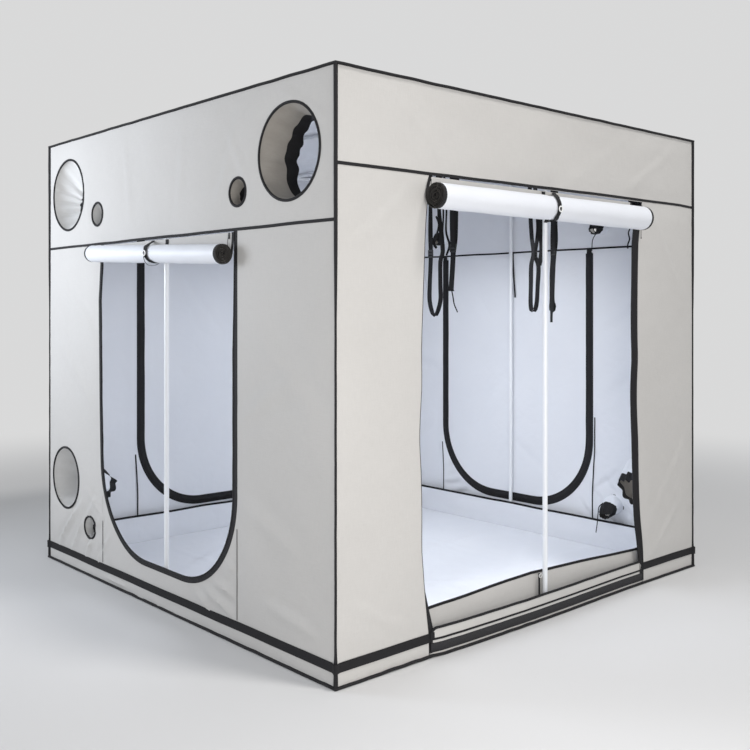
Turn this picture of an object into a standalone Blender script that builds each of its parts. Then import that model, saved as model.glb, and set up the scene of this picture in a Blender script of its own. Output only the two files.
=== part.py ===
"""Indoor grow tent, 2.4 m square and 2.2 m high: a plug-together steel tube frame, a sewn
canvas skin with two rolled-up and two zipped doors, ducting sleeves and a floor tray.

Metres, +Z up, origin on the ground at the middle of the tent. The front doorway faces -Y and
the side doorway faces -X. Every wall is drawn as if it were the front one: x to the right as
seen from outside, y inwards from the canvas, z up. Its parent empty then turns it into place.
"""
import math

import bmesh
import bpy
from mathutils import Matrix, Vector

# Overall sizes, over the canvas
WIDTH = 2.400
DEPTH = 2.400
HEIGHT = 2.200

# Fits
CLEARANCE = 0.0003
OVERRUN = 0.010

# Fabric and trim
CANVAS = 0.0020
SLEEVE_CLOTH = 0.0012
STRAP = 0.0015
BINDING_RADIUS = 0.0050
SEAM_TAPE_WIDTH = 0.012
SEAM_TAPE = 0.0012
FRONT_HEADER = 0.347
SIDE_HEADER = 0.547
BACK_HEADER = 0.347
WEBBING_BOTTOM = 0.057
WEBBING_WIDTH = 0.036
WEBBING_TAB = 0.045

# Frame tubes and their connectors
POLE_RADIUS = 0.0110
POLE_WALL = 0.0012
SOCKET_WALL = 0.0025
SOCKET_DEPTH = 0.040
HUB_LIP = 0.0020
HUB_CHAMFER = 0.0012
ROOF_BAR_OFFSET = 0.400
SPIGOT_HEIGHT = 0.018
POLE_LIFT = 0.024

# Front doorway and its sill
FRONT_DOOR_HALF = 0.735
FRONT_TAPE = 0.030
SILL_HEIGHT = 0.115
SILL_CORNER = 0.030
HOOK_STRIP_BOTTOM = 0.018
HOOK_STRIP_WIDTH = 0.037

# Zipped U-shaped doors
SIDE_BAY_HALF = 0.583
BACK_BAY_HALF = 0.684
DOOR_BOTTOM = 0.168
DOOR_CORNER = 0.420
OPEN_TAPE = 0.028
CLOSED_TAPE = 0.040

# Rolled-up doors
FRONT_ROLL_HALF = 0.705
FRONT_ROLL_SHIFT = 0.064
FRONT_ROLL_RADIUS = 0.055
FRONT_ROLL_OUT = 0.066
FRONT_ROLL_DROP = 0.088
SIDE_ROLL_HALF = 0.580
SIDE_ROLL_SHIFT = 0.015
SIDE_ROLL_RADIUS = 0.043
SIDE_ROLL_OUT = 0.051
SIDE_ROLL_DROP = 0.068
ROLL_CORE = 0.010
ROLL_STRAP_WIDTH = 0.020
FRONT_STRAP_AT = -0.050
SIDE_STRAP_AT = 0.000
RING_RADIUS = 0.0100
RING_WIRE = 0.0020
RING_ABOVE_FRONT = 0.010

# Ducting sleeves: large and medium ones take fans and filters, small ones take cables
LARGE_VENT = 0.188
MEDIUM_VENT = 0.162
SMALL_VENT = 0.060
LARGE_SLEEVE = 0.105
MEDIUM_SLEEVE = 0.240
SMALL_SLEEVE = 0.040
LARGE_VENT_REAR = 0.970
LARGE_VENT_FRONT = 0.925
LARGE_VENT_DROP = 0.276
SMALL_VENT_REAR = 0.640
SMALL_VENT_FRONT = 0.590
SMALL_VENT_DROP = 0.398
MEDIUM_VENT_REAR = 1.000
MEDIUM_VENT_RISE = 0.456
LOW_VENT_REAR = 0.720
LOW_VENT_RISE = 0.243
HEM = 0.042
RIM_WIDTH = 0.010
RIM = 0.004

# Floor tray
TRAY_HEIGHT = 0.155
TRAY_FRONT_HEIGHT = 0.196
TRAY_BINDING_RADIUS = 0.0040

# Zip sliders with their cord pulls
SLIDER_WIDTH = 0.012
SLIDER_LENGTH = 0.026
SLIDER_DEPTH = 0.008
PULL_CORD_RADIUS = 0.0013
PULL_LENGTH = 0.055
PULL_KNOT_RADIUS = 0.0022
CLOSED_SLIDER_AT = 1.000

# Hanging belts on the roof bars
BELT_WIDTH = 0.025
BELT_BUCKLE_DROP = 0.5215
BELT_DROP = 0.8615
BUCKLE_WIDTH = 0.034
BUCKLE_HEIGHT = 0.030
BUCKLE_DEPTH = 0.009
BELT_SPREAD = 0.022
LEFT_BELTS_AT = (-1.020, -0.890)
RIGHT_BELTS_AT = (-0.930, -0.780)

# Facet counts
POLE_SIDES = 12
BINDING_SIDES = 8
CORNER_STEPS = 10
ROLL_STEPS = 18
LARGE_STEPS = 20
SMALL_STEPS = 12
BEND_STEPS = 6
RING_STEPS = 12
WIRE_SIDES = 6
SLEEVE_SHARES = (0.5, 1.0)
PLEAT_SHARE = 0.5

# Sizes that follow from the ones above
BORE_RADIUS = (POLE_RADIUS + CLEARANCE) / math.cos(math.pi / POLE_SIDES)
SOCKET_RADIUS = BORE_RADIUS + SOCKET_WALL
SOCKET_FLOOR = SOCKET_RADIUS
HUB_HALF = SOCKET_RADIUS + HUB_LIP
SOCKET_END = HUB_HALF + SOCKET_DEPTH
FRAME_INSET = CANVAS + CLEARANCE + HUB_HALF
FRAME_BASE = FRAME_INSET
FRAME_TOP = HEIGHT - FRAME_INSET
FRAME_X = WIDTH / 2 - FRAME_INSET
FRAME_Y = DEPTH / 2 - FRAME_INSET
BELT_BUCKLE_AT = FRAME_TOP - BELT_BUCKLE_DROP
BELT_BOTTOM = FRAME_TOP - BELT_DROP
FRONT_SEAM = HEIGHT - FRONT_HEADER
SIDE_SEAM = HEIGHT - SIDE_HEADER
BACK_SEAM = HEIGHT - BACK_HEADER
LARGE_VENT_TOP = HEIGHT - LARGE_VENT_DROP
SMALL_VENT_TOP = HEIGHT - SMALL_VENT_DROP
TRAY_INSET = FRAME_INSET + HUB_HALF + CLEARANCE
WALL_BOTTOM = CANVAS + CLEARANCE
WALL_TOP = HEIGHT - CANVAS - CLEARANCE

BLACK = (0.022, 0.021, 0.024)
WHITE = (0.78, 0.80, 0.85)
CANVAS_GREY = (0.56, 0.54, 0.52)
LINING = (0.80, 0.84, 0.90)

X_AXIS = Vector((1.0, 0.0, 0.0))
Y_AXIS = Vector((0.0, 1.0, 0.0))
Z_AXIS = Vector((0.0, 0.0, 1.0))
ORIGIN = Vector((0.0, 0.0, 0.0))


# Scene helpers

def clear_scene():
    for obj in list(bpy.data.objects):
        bpy.data.objects.remove(obj)


def material(name, colour, roughness, metallic=0.0):
    found = bpy.data.materials.get(name)
    if found:
        return found
    made = bpy.data.materials.new(name)
    made.use_nodes = True
    shader = made.node_tree.nodes["Principled BSDF"]
    shader.inputs["Base Color"].default_value = (*colour, 1.0)
    shader.inputs["Roughness"].default_value = roughness
    shader.inputs["Metallic"].default_value = metallic
    return made


def canvas():
    return material("canvas", CANVAS_GREY, 0.75)


def lining():
    return material("lining", LINING, 0.55)


def black_webbing():
    return material("black_webbing", BLACK, 0.80)


def black_plastic():
    return material("black_plastic", BLACK, 0.45)


def white_steel():
    return material("white_steel", WHITE, 0.35)


def white_plastic():
    return material("white_plastic", WHITE, 0.45)


def add_empty(name, location, turn=0.0):
    empty = bpy.data.objects.new(name, None)
    empty.location = location
    empty.rotation_euler = (0.0, 0.0, turn)
    bpy.context.collection.objects.link(empty)
    return empty


def finish(name, bm, surface, parent=None, pivot=(0.0, 0.0, 0.0)):
    """Make the named object from bm, with its origin at pivot in its parent's frame."""
    bmesh.ops.translate(bm, verts=bm.verts, vec=-Vector(pivot))
    bmesh.ops.recalc_face_normals(bm, faces=bm.faces)
    mesh = bpy.data.meshes.new(name)
    bm.to_mesh(mesh)
    bm.free()
    mesh.materials.append(surface)
    mesh.shade_smooth()
    mesh.set_sharp_from_angle(angle=math.radians(40.0))
    obj = bpy.data.objects.new(name, mesh)
    obj.location = pivot
    obj.parent = parent
    bpy.context.collection.objects.link(obj)
    return obj


def boolean(obj, cutter, operation):
    """Combine cutter with obj and keep the cutter as a hidden wire guide."""
    cutter.hide_render = True
    cutter.display_type = "WIRE"
    modifier = obj.modifiers.new(cutter.name, "BOOLEAN")
    modifier.operation = operation
    modifier.solver = "EXACT"
    modifier.object = cutter


def baked_mesh(obj, helpers):
    """The object's mesh with its modifiers applied; the object and its helpers go."""
    bpy.context.view_layer.update()
    depsgraph = bpy.context.evaluated_depsgraph_get()
    mesh = bpy.data.meshes.new_from_object(obj.evaluated_get(depsgraph))
    for used in [obj] + helpers:
        bpy.data.objects.remove(used)
    return mesh


# Shape helpers

def add_box(bm, low, high):
    size = Vector(high) - Vector(low)
    middle = (Vector(high) + Vector(low)) / 2
    matrix = Matrix.Translation(middle) @ Matrix.Diagonal((*size, 1.0))
    bmesh.ops.create_cube(bm, size=1.0, matrix=matrix)


def add_prism(bm, outline, y_low, y_high):
    """A closed outline of (x, z) points, drawn out from y_low to y_high."""
    face = bm.faces.new([bm.verts.new((x, y_low, z)) for x, z in outline])
    drawn = bmesh.ops.extrude_face_region(bm, geom=[face], use_keep_orig=True)
    moved = [item for item in drawn["geom"] if isinstance(item, bmesh.types.BMVert)]
    bmesh.ops.translate(bm, verts=moved, vec=(0.0, y_high - y_low, 0.0))


def ring_of(bm, centre, radius, across, up, sides):
    step = 2 * math.pi / sides
    return [
        bm.verts.new(centre + radius * (math.cos(i * step) * across + math.sin(i * step) * up))
        for i in range(sides)
    ]


def bridge(bm, ring_a, ring_b):
    for i in range(len(ring_a)):
        j = (i + 1) % len(ring_a)
        bm.faces.new((ring_a[i], ring_a[j], ring_b[j], ring_b[i]))


def frame_about(direction):
    """Two directions square to the given one, on the world axes where it lies on one."""
    along = Vector(direction).normalized()
    side = Vector((0.0, 0.0, 1.0)) if abs(along.z) < math.sqrt(0.5) else Vector((1.0, 0.0, 0.0))
    across = along.cross(side).normalized()
    return across, across.cross(along)


def add_rod(bm, start, end, radius, sides):
    start, end = Vector(start), Vector(end)
    across, up = frame_about(end - start)
    low = ring_of(bm, start, radius, across, up, sides)
    high = ring_of(bm, end, radius, across, up, sides)
    bridge(bm, low, high)
    bm.faces.new(low)
    bm.faces.new(high)


def add_tube(bm, start, end, radius, wall, sides=POLE_SIDES):
    start, end = Vector(start), Vector(end)
    across, up = frame_about(end - start)
    rings = [
        ring_of(bm, point, size, across, up, sides)
        for point, size in (
            (start, radius),
            (end, radius),
            (end, radius - wall),
            (start, radius - wall),
        )
    ]
    for i in range(len(rings)):
        bridge(bm, rings[i], rings[(i + 1) % len(rings)])


def add_bent_rod(bm, path, radius, sides, axis, closed=False):
    """A rod along a path of points that bends about axis, mitred at each point."""
    steps = [(b - a).normalized() for a, b in zip(path, path[1:] + path[:1])]
    if not closed:
        steps[-1] = steps[-2]
    rings = []
    for i, point in enumerate(path):
        before = steps[i - 1] if i or closed else steps[0]
        heading = (before + steps[i]).normalized()
        out = heading.cross(axis).normalized()
        up = out.cross(heading)
        rings.append(ring_of(bm, point, radius, out / out.cross(steps[i]).length, up, sides))
    for first, second in zip(rings, rings[1:]):
        bridge(bm, first, second)
    if closed:
        bridge(bm, rings[-1], rings[0])
    else:
        bm.faces.new(rings[0])
        bm.faces.new(rings[-1])


def add_strip(bm, path, thickness, low, high, place):
    """A ribbon along a flat path, of one thickness, drawn out from low to high across it."""
    points = [Vector(point) for point in path]
    rails = []
    for i, point in enumerate(points):
        before = (point - points[i - 1]).normalized() if i else None
        after = (points[i + 1] - point).normalized() if i + 1 < len(points) else None
        before, after = before or after, after or before
        heading = (before + after).normalized()
        reach = thickness / 2 / heading.dot(after)
        side = Vector((-heading.y, heading.x)) * reach
        corners = (
            (point + side, low),
            (point + side, high),
            (point - side, high),
            (point - side, low),
        )
        rails.append([bm.verts.new(place(flat.x, flat.y, across)) for flat, across in corners])
    for first, second in zip(rails, rails[1:]):
        bridge(bm, first, second)
    bm.faces.new(rails[0])
    bm.faces.new(rails[-1])


def in_side_view(y, z, x):
    return Vector((x, y, z))


def in_front_view(x, z, y):
    return Vector((x, y, z))


def in_plan(x, y, z):
    return Vector((x, y, z))


def arc(centre, radius, start, end, steps):
    """Points on an arc of (x, z), angles in degrees, both ends included."""
    turns = [math.radians(start + (end - start) * i / steps) for i in range(steps + 1)]
    return [(centre[0] + radius * math.cos(a), centre[1] + radius * math.sin(a)) for a in turns]


def u_path(half, bottom, corner, top):
    """The left leg down, round the bottom and up the right leg of a U-shaped door."""
    left = arc((-half + corner, bottom + corner), corner, 180, 270, CORNER_STEPS)
    right = arc((half - corner, bottom + corner), corner, 270, 360, CORNER_STEPS)
    return [(-half, top)] + left + right + [(half, top)]


# Frame

def rod_guide(name, start, end, radius, sides=POLE_SIDES):
    bm = bmesh.new()
    add_rod(bm, start, end, radius, sides)
    return finish(name, bm, white_plastic())


def box_guide(name, low, high, chamfer=0.0):
    bm = bmesh.new()
    add_box(bm, low, high)
    if chamfer:
        bmesh.ops.bevel(bm, geom=bm.edges[:], offset=chamfer, segments=1, affect="EDGES")
    return finish(name, bm, white_plastic())


def combined(joined, removed):
    """One mesh from solids joined together and then hollowed by others."""
    body = joined[0]
    for part in joined[1:]:
        boolean(body, part, "UNION")
    for part in removed:
        boolean(body, part, "DIFFERENCE")
    return baked_mesh(body, joined[1:] + removed)


def add_socket(middle, arm, joined, removed):
    """A socket that stands out of a hub along arm, and its blind bore."""
    joined.append(rod_guide("socket", middle, middle + arm * SOCKET_END, SOCKET_RADIUS))
    floor, mouth = SOCKET_FLOOR, SOCKET_END + OVERRUN
    removed.append(rod_guide("bore", middle + arm * floor, middle + arm * mouth, BORE_RADIUS))


def add_collar(middle, low, high, joined):
    """The part of a connector that grips the rail, from low to high along it."""
    joined.append(rod_guide("collar", middle + X_AXIS * low, middle + X_AXIS * high, SOCKET_RADIUS))


def rail_mesh(length, spigot, bars):
    """A rail with its own corner connector at the origin, running along X to the socket of
    the next one. Y points into the tent and Z towards the uprights. The tee in its middle
    holds a centre upright, or has a spigot that a removable door pole stands on, and bars
    gives the places of the roof bars' sockets."""
    middle = X_AXIS * (length / 2)
    half = Vector((HUB_HALF, HUB_HALF, HUB_HALF))
    hubs = [ORIGIN, middle] + [X_AXIS * place for place in bars]
    joined, removed = [], []
    end = X_AXIS * (length - SOCKET_FLOOR - CLEARANCE)
    joined.append(rod_guide("pole", ORIGIN, end, POLE_RADIUS))
    for hub in hubs:
        joined.append(box_guide("hub", hub - half, hub + half, HUB_CHAMFER))
    add_collar(ORIGIN, 0.0, SOCKET_END, joined)
    for hub in hubs[1:]:
        add_collar(hub, -SOCKET_END, SOCKET_END, joined)
    add_socket(ORIGIN, Y_AXIS, joined, removed)
    add_socket(ORIGIN, Z_AXIS, joined, removed)
    for hub in hubs[2:]:
        add_socket(hub, Y_AXIS, joined, removed)
    bore = POLE_RADIUS - POLE_WALL
    if spigot:
        pin = bore * math.cos(math.pi / POLE_SIDES) - CLEARANCE
        top = middle + Z_AXIS * (HUB_HALF + SPIGOT_HEIGHT)
        joined.append(rod_guide("pin", middle + Z_AXIS * POLE_RADIUS, top, pin))
    else:
        add_socket(middle, Z_AXIS, joined, removed)
    removed.append(rod_guide("pole_bore", X_AXIS * SOCKET_FLOOR, end + X_AXIS * OVERRUN, bore))
    return combined(joined, removed)


def finish_mesh(name, mesh, surface, matrix, parent=None, pivot=(0.0, 0.0, 0.0)):
    bm = bmesh.new()
    bm.from_mesh(mesh)
    bmesh.ops.transform(bm, matrix=matrix, verts=bm.verts)
    return finish(name, bm, surface, parent, pivot)


def corners():
    """Name, place and turn of each corner: the turn sends X along the next wall and Y into
    the tent."""
    return [
        ("front_left", Vector((-FRAME_X, -FRAME_Y, 0.0)), 0.0),
        ("front_right", Vector((FRAME_X, -FRAME_Y, 0.0)), math.pi / 2),
        ("back_right", Vector((FRAME_X, FRAME_Y, 0.0)), math.pi),
        ("back_left", Vector((-FRAME_X, FRAME_Y, 0.0)), -math.pi / 2),
    ]


def build_rails():
    """Four base rails with their sockets up, and four top rails turned over."""
    starts = corners()
    ends = starts[1:] + starts[:1]
    for wall, (_, start, turn), (_, end, _) in zip(("front", "right", "back", "left"), starts, ends):
        length = (end - start).length
        along = Matrix.Rotation(turn, 4, "Z")
        base = rail_mesh(length, wall in ("front", "left"), ())
        place = Matrix.Translation(start + Z_AXIS * FRAME_BASE) @ along
        finish_mesh(wall + "_base_rail", base, white_steel(), place)
        middle = length / 2
        bars = (middle - ROOF_BAR_OFFSET, middle + ROOF_BAR_OFFSET) if wall in ("front", "back") else ()
        top = rail_mesh(length, False, bars)
        over = along @ Matrix.Rotation(math.pi, 4, "Y")
        place = Matrix.Translation(end + Z_AXIS * FRAME_TOP) @ over
        finish_mesh(wall + "_top_rail", top, white_steel(), place)


def add_pole(name, start, end):
    bm = bmesh.new()
    add_tube(bm, start, end, POLE_RADIUS, POLE_WALL)
    finish(name, bm, white_steel(), pivot=start)


def build_poles():
    foot = Z_AXIS * (FRAME_BASE + SOCKET_FLOOR + CLEARANCE)
    head = Z_AXIS * (FRAME_TOP - SOCKET_FLOOR - CLEARANCE)
    for name, place, _ in corners():
        add_pole(name + "_upright", place + foot, place + head)
    for name, place in (("right", X_AXIS * FRAME_X), ("back", Y_AXIS * FRAME_Y)):
        add_pole(name + "_centre_upright", place + foot, place + head)
    stand = Z_AXIS * (FRAME_BASE + HUB_HALF + CLEARANCE)
    for name, place in (("front", -Y_AXIS * FRAME_Y), ("left", -X_AXIS * FRAME_X)):
        add_pole(name + "_door_pole", place + stand, place + head - Z_AXIS * POLE_LIFT)
    reach = FRAME_Y - SOCKET_FLOOR - CLEARANCE
    for side, x in (("left", -ROOF_BAR_OFFSET), ("right", ROOF_BAR_OFFSET)):
        add_pole(side + "_roof_bar", Vector((x, -reach, FRAME_TOP)), Vector((x, reach, FRAME_TOP)))


# Skin

def build_roof_and_ground():
    half = Vector((WIDTH / 2, DEPTH / 2, 0.0))
    roof = bmesh.new()
    add_box(roof, -half + Z_AXIS * (HEIGHT - CANVAS), half + Z_AXIS * HEIGHT)
    finish("roof_panel", roof, canvas())
    ground = bmesh.new()
    add_box(ground, -half, half + Z_AXIS * CANVAS)
    finish("ground_sheet", ground, canvas())


def panel(name, wall, outline):
    bm = bmesh.new()
    add_prism(bm, outline, 0.0, CANVAS)
    return finish(name, bm, canvas(), wall)


def rectangle(half, low, high):
    return [(-half, low), (half, low), (half, high), (-half, high)]


def build_front_wall(wall):
    """Header and both side panels, sewn as one, round the full-height doorway."""
    half, door = WIDTH / 2, FRONT_DOOR_HALF
    outline = [
        (-half, WALL_BOTTOM), (-door, WALL_BOTTOM), (-door, FRONT_SEAM), (door, FRONT_SEAM),
        (door, WALL_BOTTOM), (half, WALL_BOTTOM), (half, WALL_TOP), (-half, WALL_TOP),
    ]
    panel("front_wall", wall, outline)


def build_back_wall(wall):
    body = panel("back_wall", wall, rectangle(WIDTH / 2, WALL_BOTTOM, WALL_TOP))
    cut = u_path(BACK_BAY_HALF, DOOR_BOTTOM, DOOR_CORNER, BACK_SEAM)
    bm = bmesh.new()
    add_prism(bm, cut, -OVERRUN, OVERRUN)
    boolean(body, finish("back_door_cut", bm, canvas(), wall), "DIFFERENCE")


def build_side_wall(side, wall):
    """A header above the seam, and below it a panel cut out for the U-shaped door."""
    half = DEPTH / 2 - CANVAS - CLEARANCE
    seam_top, seam_foot = SIDE_SEAM + CLEARANCE / 2, SIDE_SEAM - CLEARANCE / 2
    header = panel(side + "_header", wall, rectangle(half, seam_top, WALL_TOP))
    door = u_path(SIDE_BAY_HALF, DOOR_BOTTOM, DOOR_CORNER, seam_foot)
    foot = [(-half, WALL_BOTTOM), (half, WALL_BOTTOM), (half, seam_foot)]
    outline = foot + door[::-1] + [(-half, seam_foot)]
    lower = panel(side + "_wall", wall, outline)
    for vent in SIDE_VENTS:
        cut_vent(header if vent.z > SIDE_SEAM else lower, vent)


def zip_tape(name, wall, bay, seam, width):
    top = seam - CLEARANCE
    edge = CLEARANCE
    outer = u_path(bay - edge, DOOR_BOTTOM + edge, DOOR_CORNER - edge, top)
    edge += width
    inner = u_path(bay - edge, DOOR_BOTTOM + edge, DOOR_CORNER - edge, top)
    bm = bmesh.new()
    add_prism(bm, outer + inner[::-1], 0.0, CANVAS)
    finish(name, bm, black_webbing(), wall)


def door_panel(name, wall, bay, seam):
    edge = CLOSED_TAPE + 2 * CLEARANCE
    panel(name, wall, u_path(bay - edge, DOOR_BOTTOM + edge, DOOR_CORNER - edge, seam - CLEARANCE))


def build_doors(right, back, left):
    zip_tape("left_zip_tape", left, SIDE_BAY_HALF, SIDE_SEAM, OPEN_TAPE)
    zip_tape("right_zip_tape", right, SIDE_BAY_HALF, SIDE_SEAM, CLOSED_TAPE)
    zip_tape("back_zip_tape", back, BACK_BAY_HALF, BACK_SEAM, CLOSED_TAPE)
    door_panel("right_door_panel", right, SIDE_BAY_HALF, SIDE_SEAM)
    door_panel("back_door_panel", back, BACK_BAY_HALF, BACK_SEAM)


def build_front_sill(wall):
    """The low canvas band across the doorway and the hook-and-loop strip on it."""
    half = FRONT_DOOR_HALF - 3 * CANVAS
    steps = CORNER_STEPS // 2
    shoulder = SILL_HEIGHT - SILL_CORNER
    left = arc((-half + SILL_CORNER, shoulder), SILL_CORNER, 180, 90, steps)
    right = arc((half - SILL_CORNER, shoulder), SILL_CORNER, 90, 0, steps)
    panel("front_sill", wall, [(-half, WALL_BOTTOM)] + left + right + [(half, WALL_BOTTOM)])
    bm = bmesh.new()
    strip_top = HOOK_STRIP_BOTTOM + HOOK_STRIP_WIDTH
    add_box(bm, (-half, -STRAP - CLEARANCE, HOOK_STRIP_BOTTOM), (half, -CLEARANCE, strip_top))
    finish("hook_strip", bm, black_webbing(), wall)


def build_front_zip_tapes(wall):
    """The half zip down each side of the front doorway, turned inwards as it hangs open."""
    lean = FRONT_TAPE * math.sqrt(0.5)
    start = FRONT_DOOR_HALF - CLEARANCE - SEAM_TAPE / 2 * math.sqrt(0.5)
    low, high = FRAME_BASE + POLE_RADIUS + CLEARANCE, FRONT_SEAM - CLEARANCE
    for side, sign in (("left", -1), ("right", 1)):
        path = [(sign * start, CANVAS / 2), (sign * (start - lean), CANVAS / 2 + lean)]
        bm = bmesh.new()
        add_strip(bm, path, SEAM_TAPE, low, high, in_plan)
        finish("front_zip_tape_" + side, bm, black_webbing(), wall)


# Ducting sleeves, the same on both side walls

class Vent:
    """A round sleeve: its place on the wall, radius, depth to the hem, the hem's share of the
    radius and the share of the depth that its inner end droops."""

    def __init__(self, name, x, z, radius, depth, tip_share, droop_share):
        self.name = name
        self.x = x
        self.z = z
        self.radius = radius
        self.depth = depth
        self.tip_share = tip_share
        self.droop_share = droop_share
        self.small = radius < MEDIUM_VENT
        self.steps = SMALL_STEPS if self.small else LARGE_STEPS


SIDE_VENTS = (
    Vent("large_rear", -LARGE_VENT_REAR, LARGE_VENT_TOP, LARGE_VENT, LARGE_SLEEVE, 0.80, 0.10),
    Vent("small_rear", -SMALL_VENT_REAR, SMALL_VENT_TOP, SMALL_VENT, SMALL_SLEEVE, 0.75, 0.50),
    Vent("large_front", LARGE_VENT_FRONT, LARGE_VENT_TOP, LARGE_VENT, LARGE_SLEEVE, 0.88, 0.08),
    Vent("small_front", SMALL_VENT_FRONT, SMALL_VENT_TOP, SMALL_VENT, SMALL_SLEEVE, 0.75, 0.35),
    Vent("medium", -MEDIUM_VENT_REAR, MEDIUM_VENT_RISE, MEDIUM_VENT, MEDIUM_SLEEVE, 0.60, 0.20),
    Vent("small_low", -LOW_VENT_REAR, LOW_VENT_RISE, SMALL_VENT, SMALL_SLEEVE, 0.85, 0.25),
)


def sleeve_ring(bm, vent, y, inset):
    """One pleated ring of a sleeve at depth y, inset from the sleeve's outer face."""
    along = max(y, 0.0) / (vent.depth + HEM)
    narrowing = (1.0 - vent.tip_share) * along ** 2
    size = vent.radius * (1.0 - narrowing)
    pleat = size * narrowing * PLEAT_SHARE
    centre_z = vent.z - vent.droop_share * (vent.depth + HEM) * along ** 2
    ring = []
    for i in range(vent.steps):
        turn = 2 * math.pi * i / vent.steps
        reach = size - inset - pleat * (i % 2)
        x, z = vent.x + reach * math.cos(turn), centre_z + reach * math.sin(turn)
        ring.append(bm.verts.new((x, y, z)))
    return ring


def add_pleats(bm, rings):
    """Cloth between rings, in triangles that lie alike on both of its faces."""
    for near, far in zip(rings, rings[1:]):
        for i in range(len(near)):
            j = (i + 1) % len(near)
            bm.faces.new((near[i], near[j], far[j]))
            bm.faces.new((near[i], far[j], far[i]))


def close_rings(bm, rings):
    add_pleats(bm, rings)
    bm.faces.new(rings[0])
    bm.faces.new(rings[-1])


def sleeve_stations(vent):
    return [vent.depth * share for share in SLEEVE_SHARES] + [vent.depth + HEM]


def cut_vent(body, vent):
    """Cut a large vent's hole, or sew a small vent's short sleeve into its hole."""
    holes = bmesh.new()
    if vent.small:
        stub = bmesh.new()
        stations = sleeve_stations(vent)
        close_rings(stub, [sleeve_ring(stub, vent, y, 0.0) for y in [CANVAS / 2] + stations])
        boolean(body, finish(vent.name + "_stub", stub, canvas(), body.parent), "UNION")
        stations = [-OVERRUN, 0.0] + stations + [stations[-1] + OVERRUN]
        close_rings(holes, [sleeve_ring(holes, vent, y, SLEEVE_CLOTH) for y in stations])
    else:
        middle = Vector((vent.x, 0.0, vent.z))
        reach = Y_AXIS * OVERRUN
        radius = (vent.radius + CLEARANCE) / math.cos(math.pi / vent.steps)
        add_rod(holes, middle - reach, middle + reach, radius, vent.steps)
    boolean(body, finish(vent.name + "_hole", holes, canvas(), body.parent), "DIFFERENCE")


def build_sleeves(side, wall):
    """Each large or medium sleeve with its bound rim, which lies on the wall's outer face."""
    for vent in SIDE_VENTS:
        if vent.small:
            continue
        bm = bmesh.new()
        back, front = -CLEARANCE, -CLEARANCE - RIM
        rim = [sleeve_ring(bm, vent, y, -RIM_WIDTH) for y in (front, back)]
        outer = [sleeve_ring(bm, vent, y, 0.0) for y in [back] + sleeve_stations(vent)]
        inner = [sleeve_ring(bm, vent, y, SLEEVE_CLOTH) for y in [front] + sleeve_stations(vent)]
        add_pleats(bm, outer)
        add_pleats(bm, inner)
        for first, second in ((inner[0], rim[0]), (rim[0], rim[1]), (rim[1], outer[0]), (outer[-1], inner[-1])):
            bridge(bm, first, second)
        finish("%s_sleeve_%s" % (side, vent.name), bm, canvas(), wall)


# Floor tray

def build_tray():
    """The floor sheet, the walls standing round it, lifted at the front where they are tied
    up to the door pole, and the binding along their top edge."""
    x, y = WIDTH / 2 - TRAY_INSET, DEPTH / 2 - TRAY_INSET
    inner_x, inner_y = x - CANVAS, y - CANVAS
    floor = bmesh.new()
    half = Vector((inner_x - CLEARANCE, inner_y - CLEARANCE, 0.0))
    add_box(floor, Z_AXIS * WALL_BOTTOM - half, Z_AXIS * (WALL_BOTTOM + CANVAS) + half)
    finish("tray_floor", floor, lining())
    walls = bmesh.new()
    foot, top = (WALL_BOTTOM, WALL_BOTTOM), (TRAY_HEIGHT, TRAY_FRONT_HEIGHT)
    loop = [
        [walls.verts.new(place) for place in tray_path(*size)]
        for size in ((x, y, *foot), (x, y, *top), (inner_x, inner_y, *top), (inner_x, inner_y, *foot))
    ]
    for i in range(len(loop)):
        bridge(walls, loop[i], loop[(i + 1) % len(loop)])
    finish("tray_walls", walls, lining())
    binding = bmesh.new()
    lift = CLEARANCE + TRAY_BINDING_RADIUS
    path = tray_path(x - CANVAS / 2, y - CANVAS / 2, TRAY_HEIGHT + lift, TRAY_FRONT_HEIGHT + lift)
    add_bent_rod(binding, path, TRAY_BINDING_RADIUS, BINDING_SIDES, Z_AXIS, closed=True)
    finish("tray_binding", binding, black_webbing())


def tray_path(x, y, height, front_height):
    """Round the tray at one height, with the middle of its front at another."""
    path = rectangle_path(x, y, height)
    path.insert(1, Vector((0.0, -y, front_height)))
    return path


def rectangle_path(x, y, z):
    return [Vector((-x, -y, z)), Vector((x, -y, z)), Vector((x, y, z)), Vector((-x, y, z))]


# Bindings and webbing

def build_edge_binding(walls):
    """The black binding of every edge of the tent and of its four header seams, as one
    sewn line."""
    foot = BINDING_RADIUS + CLEARANCE
    out = foot * math.sqrt(0.5)
    x, y = WIDTH / 2, DEPTH / 2
    joined = []
    for stand, z in ((foot, BINDING_RADIUS), (out, HEIGHT + out)):
        bm = bmesh.new()
        path = rectangle_path(x + stand, y + stand, z)
        add_bent_rod(bm, path, BINDING_RADIUS, BINDING_SIDES, Z_AXIS, closed=True)
        joined.append(finish("binding", bm, black_webbing()))
    for start in rectangle_path(x + out, y + out, BINDING_RADIUS):
        end = Vector((start.x, start.y, HEIGHT + out))
        joined.append(rod_guide("binding", start, end, BINDING_RADIUS, BINDING_SIDES))
    for wall, seam in walls:
        low = (-x - out, -SEAM_TAPE - CLEARANCE, seam - SEAM_TAPE_WIDTH / 2)
        high = (x + out, -CLEARANCE, seam + SEAM_TAPE_WIDTH / 2)
        tape = box_guide("seam_tape", low, high)
        tape.parent = wall
        joined.append(tape)
    finish_mesh("edge_binding", combined(joined, []), black_webbing(), Matrix.Identity(4))


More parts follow.
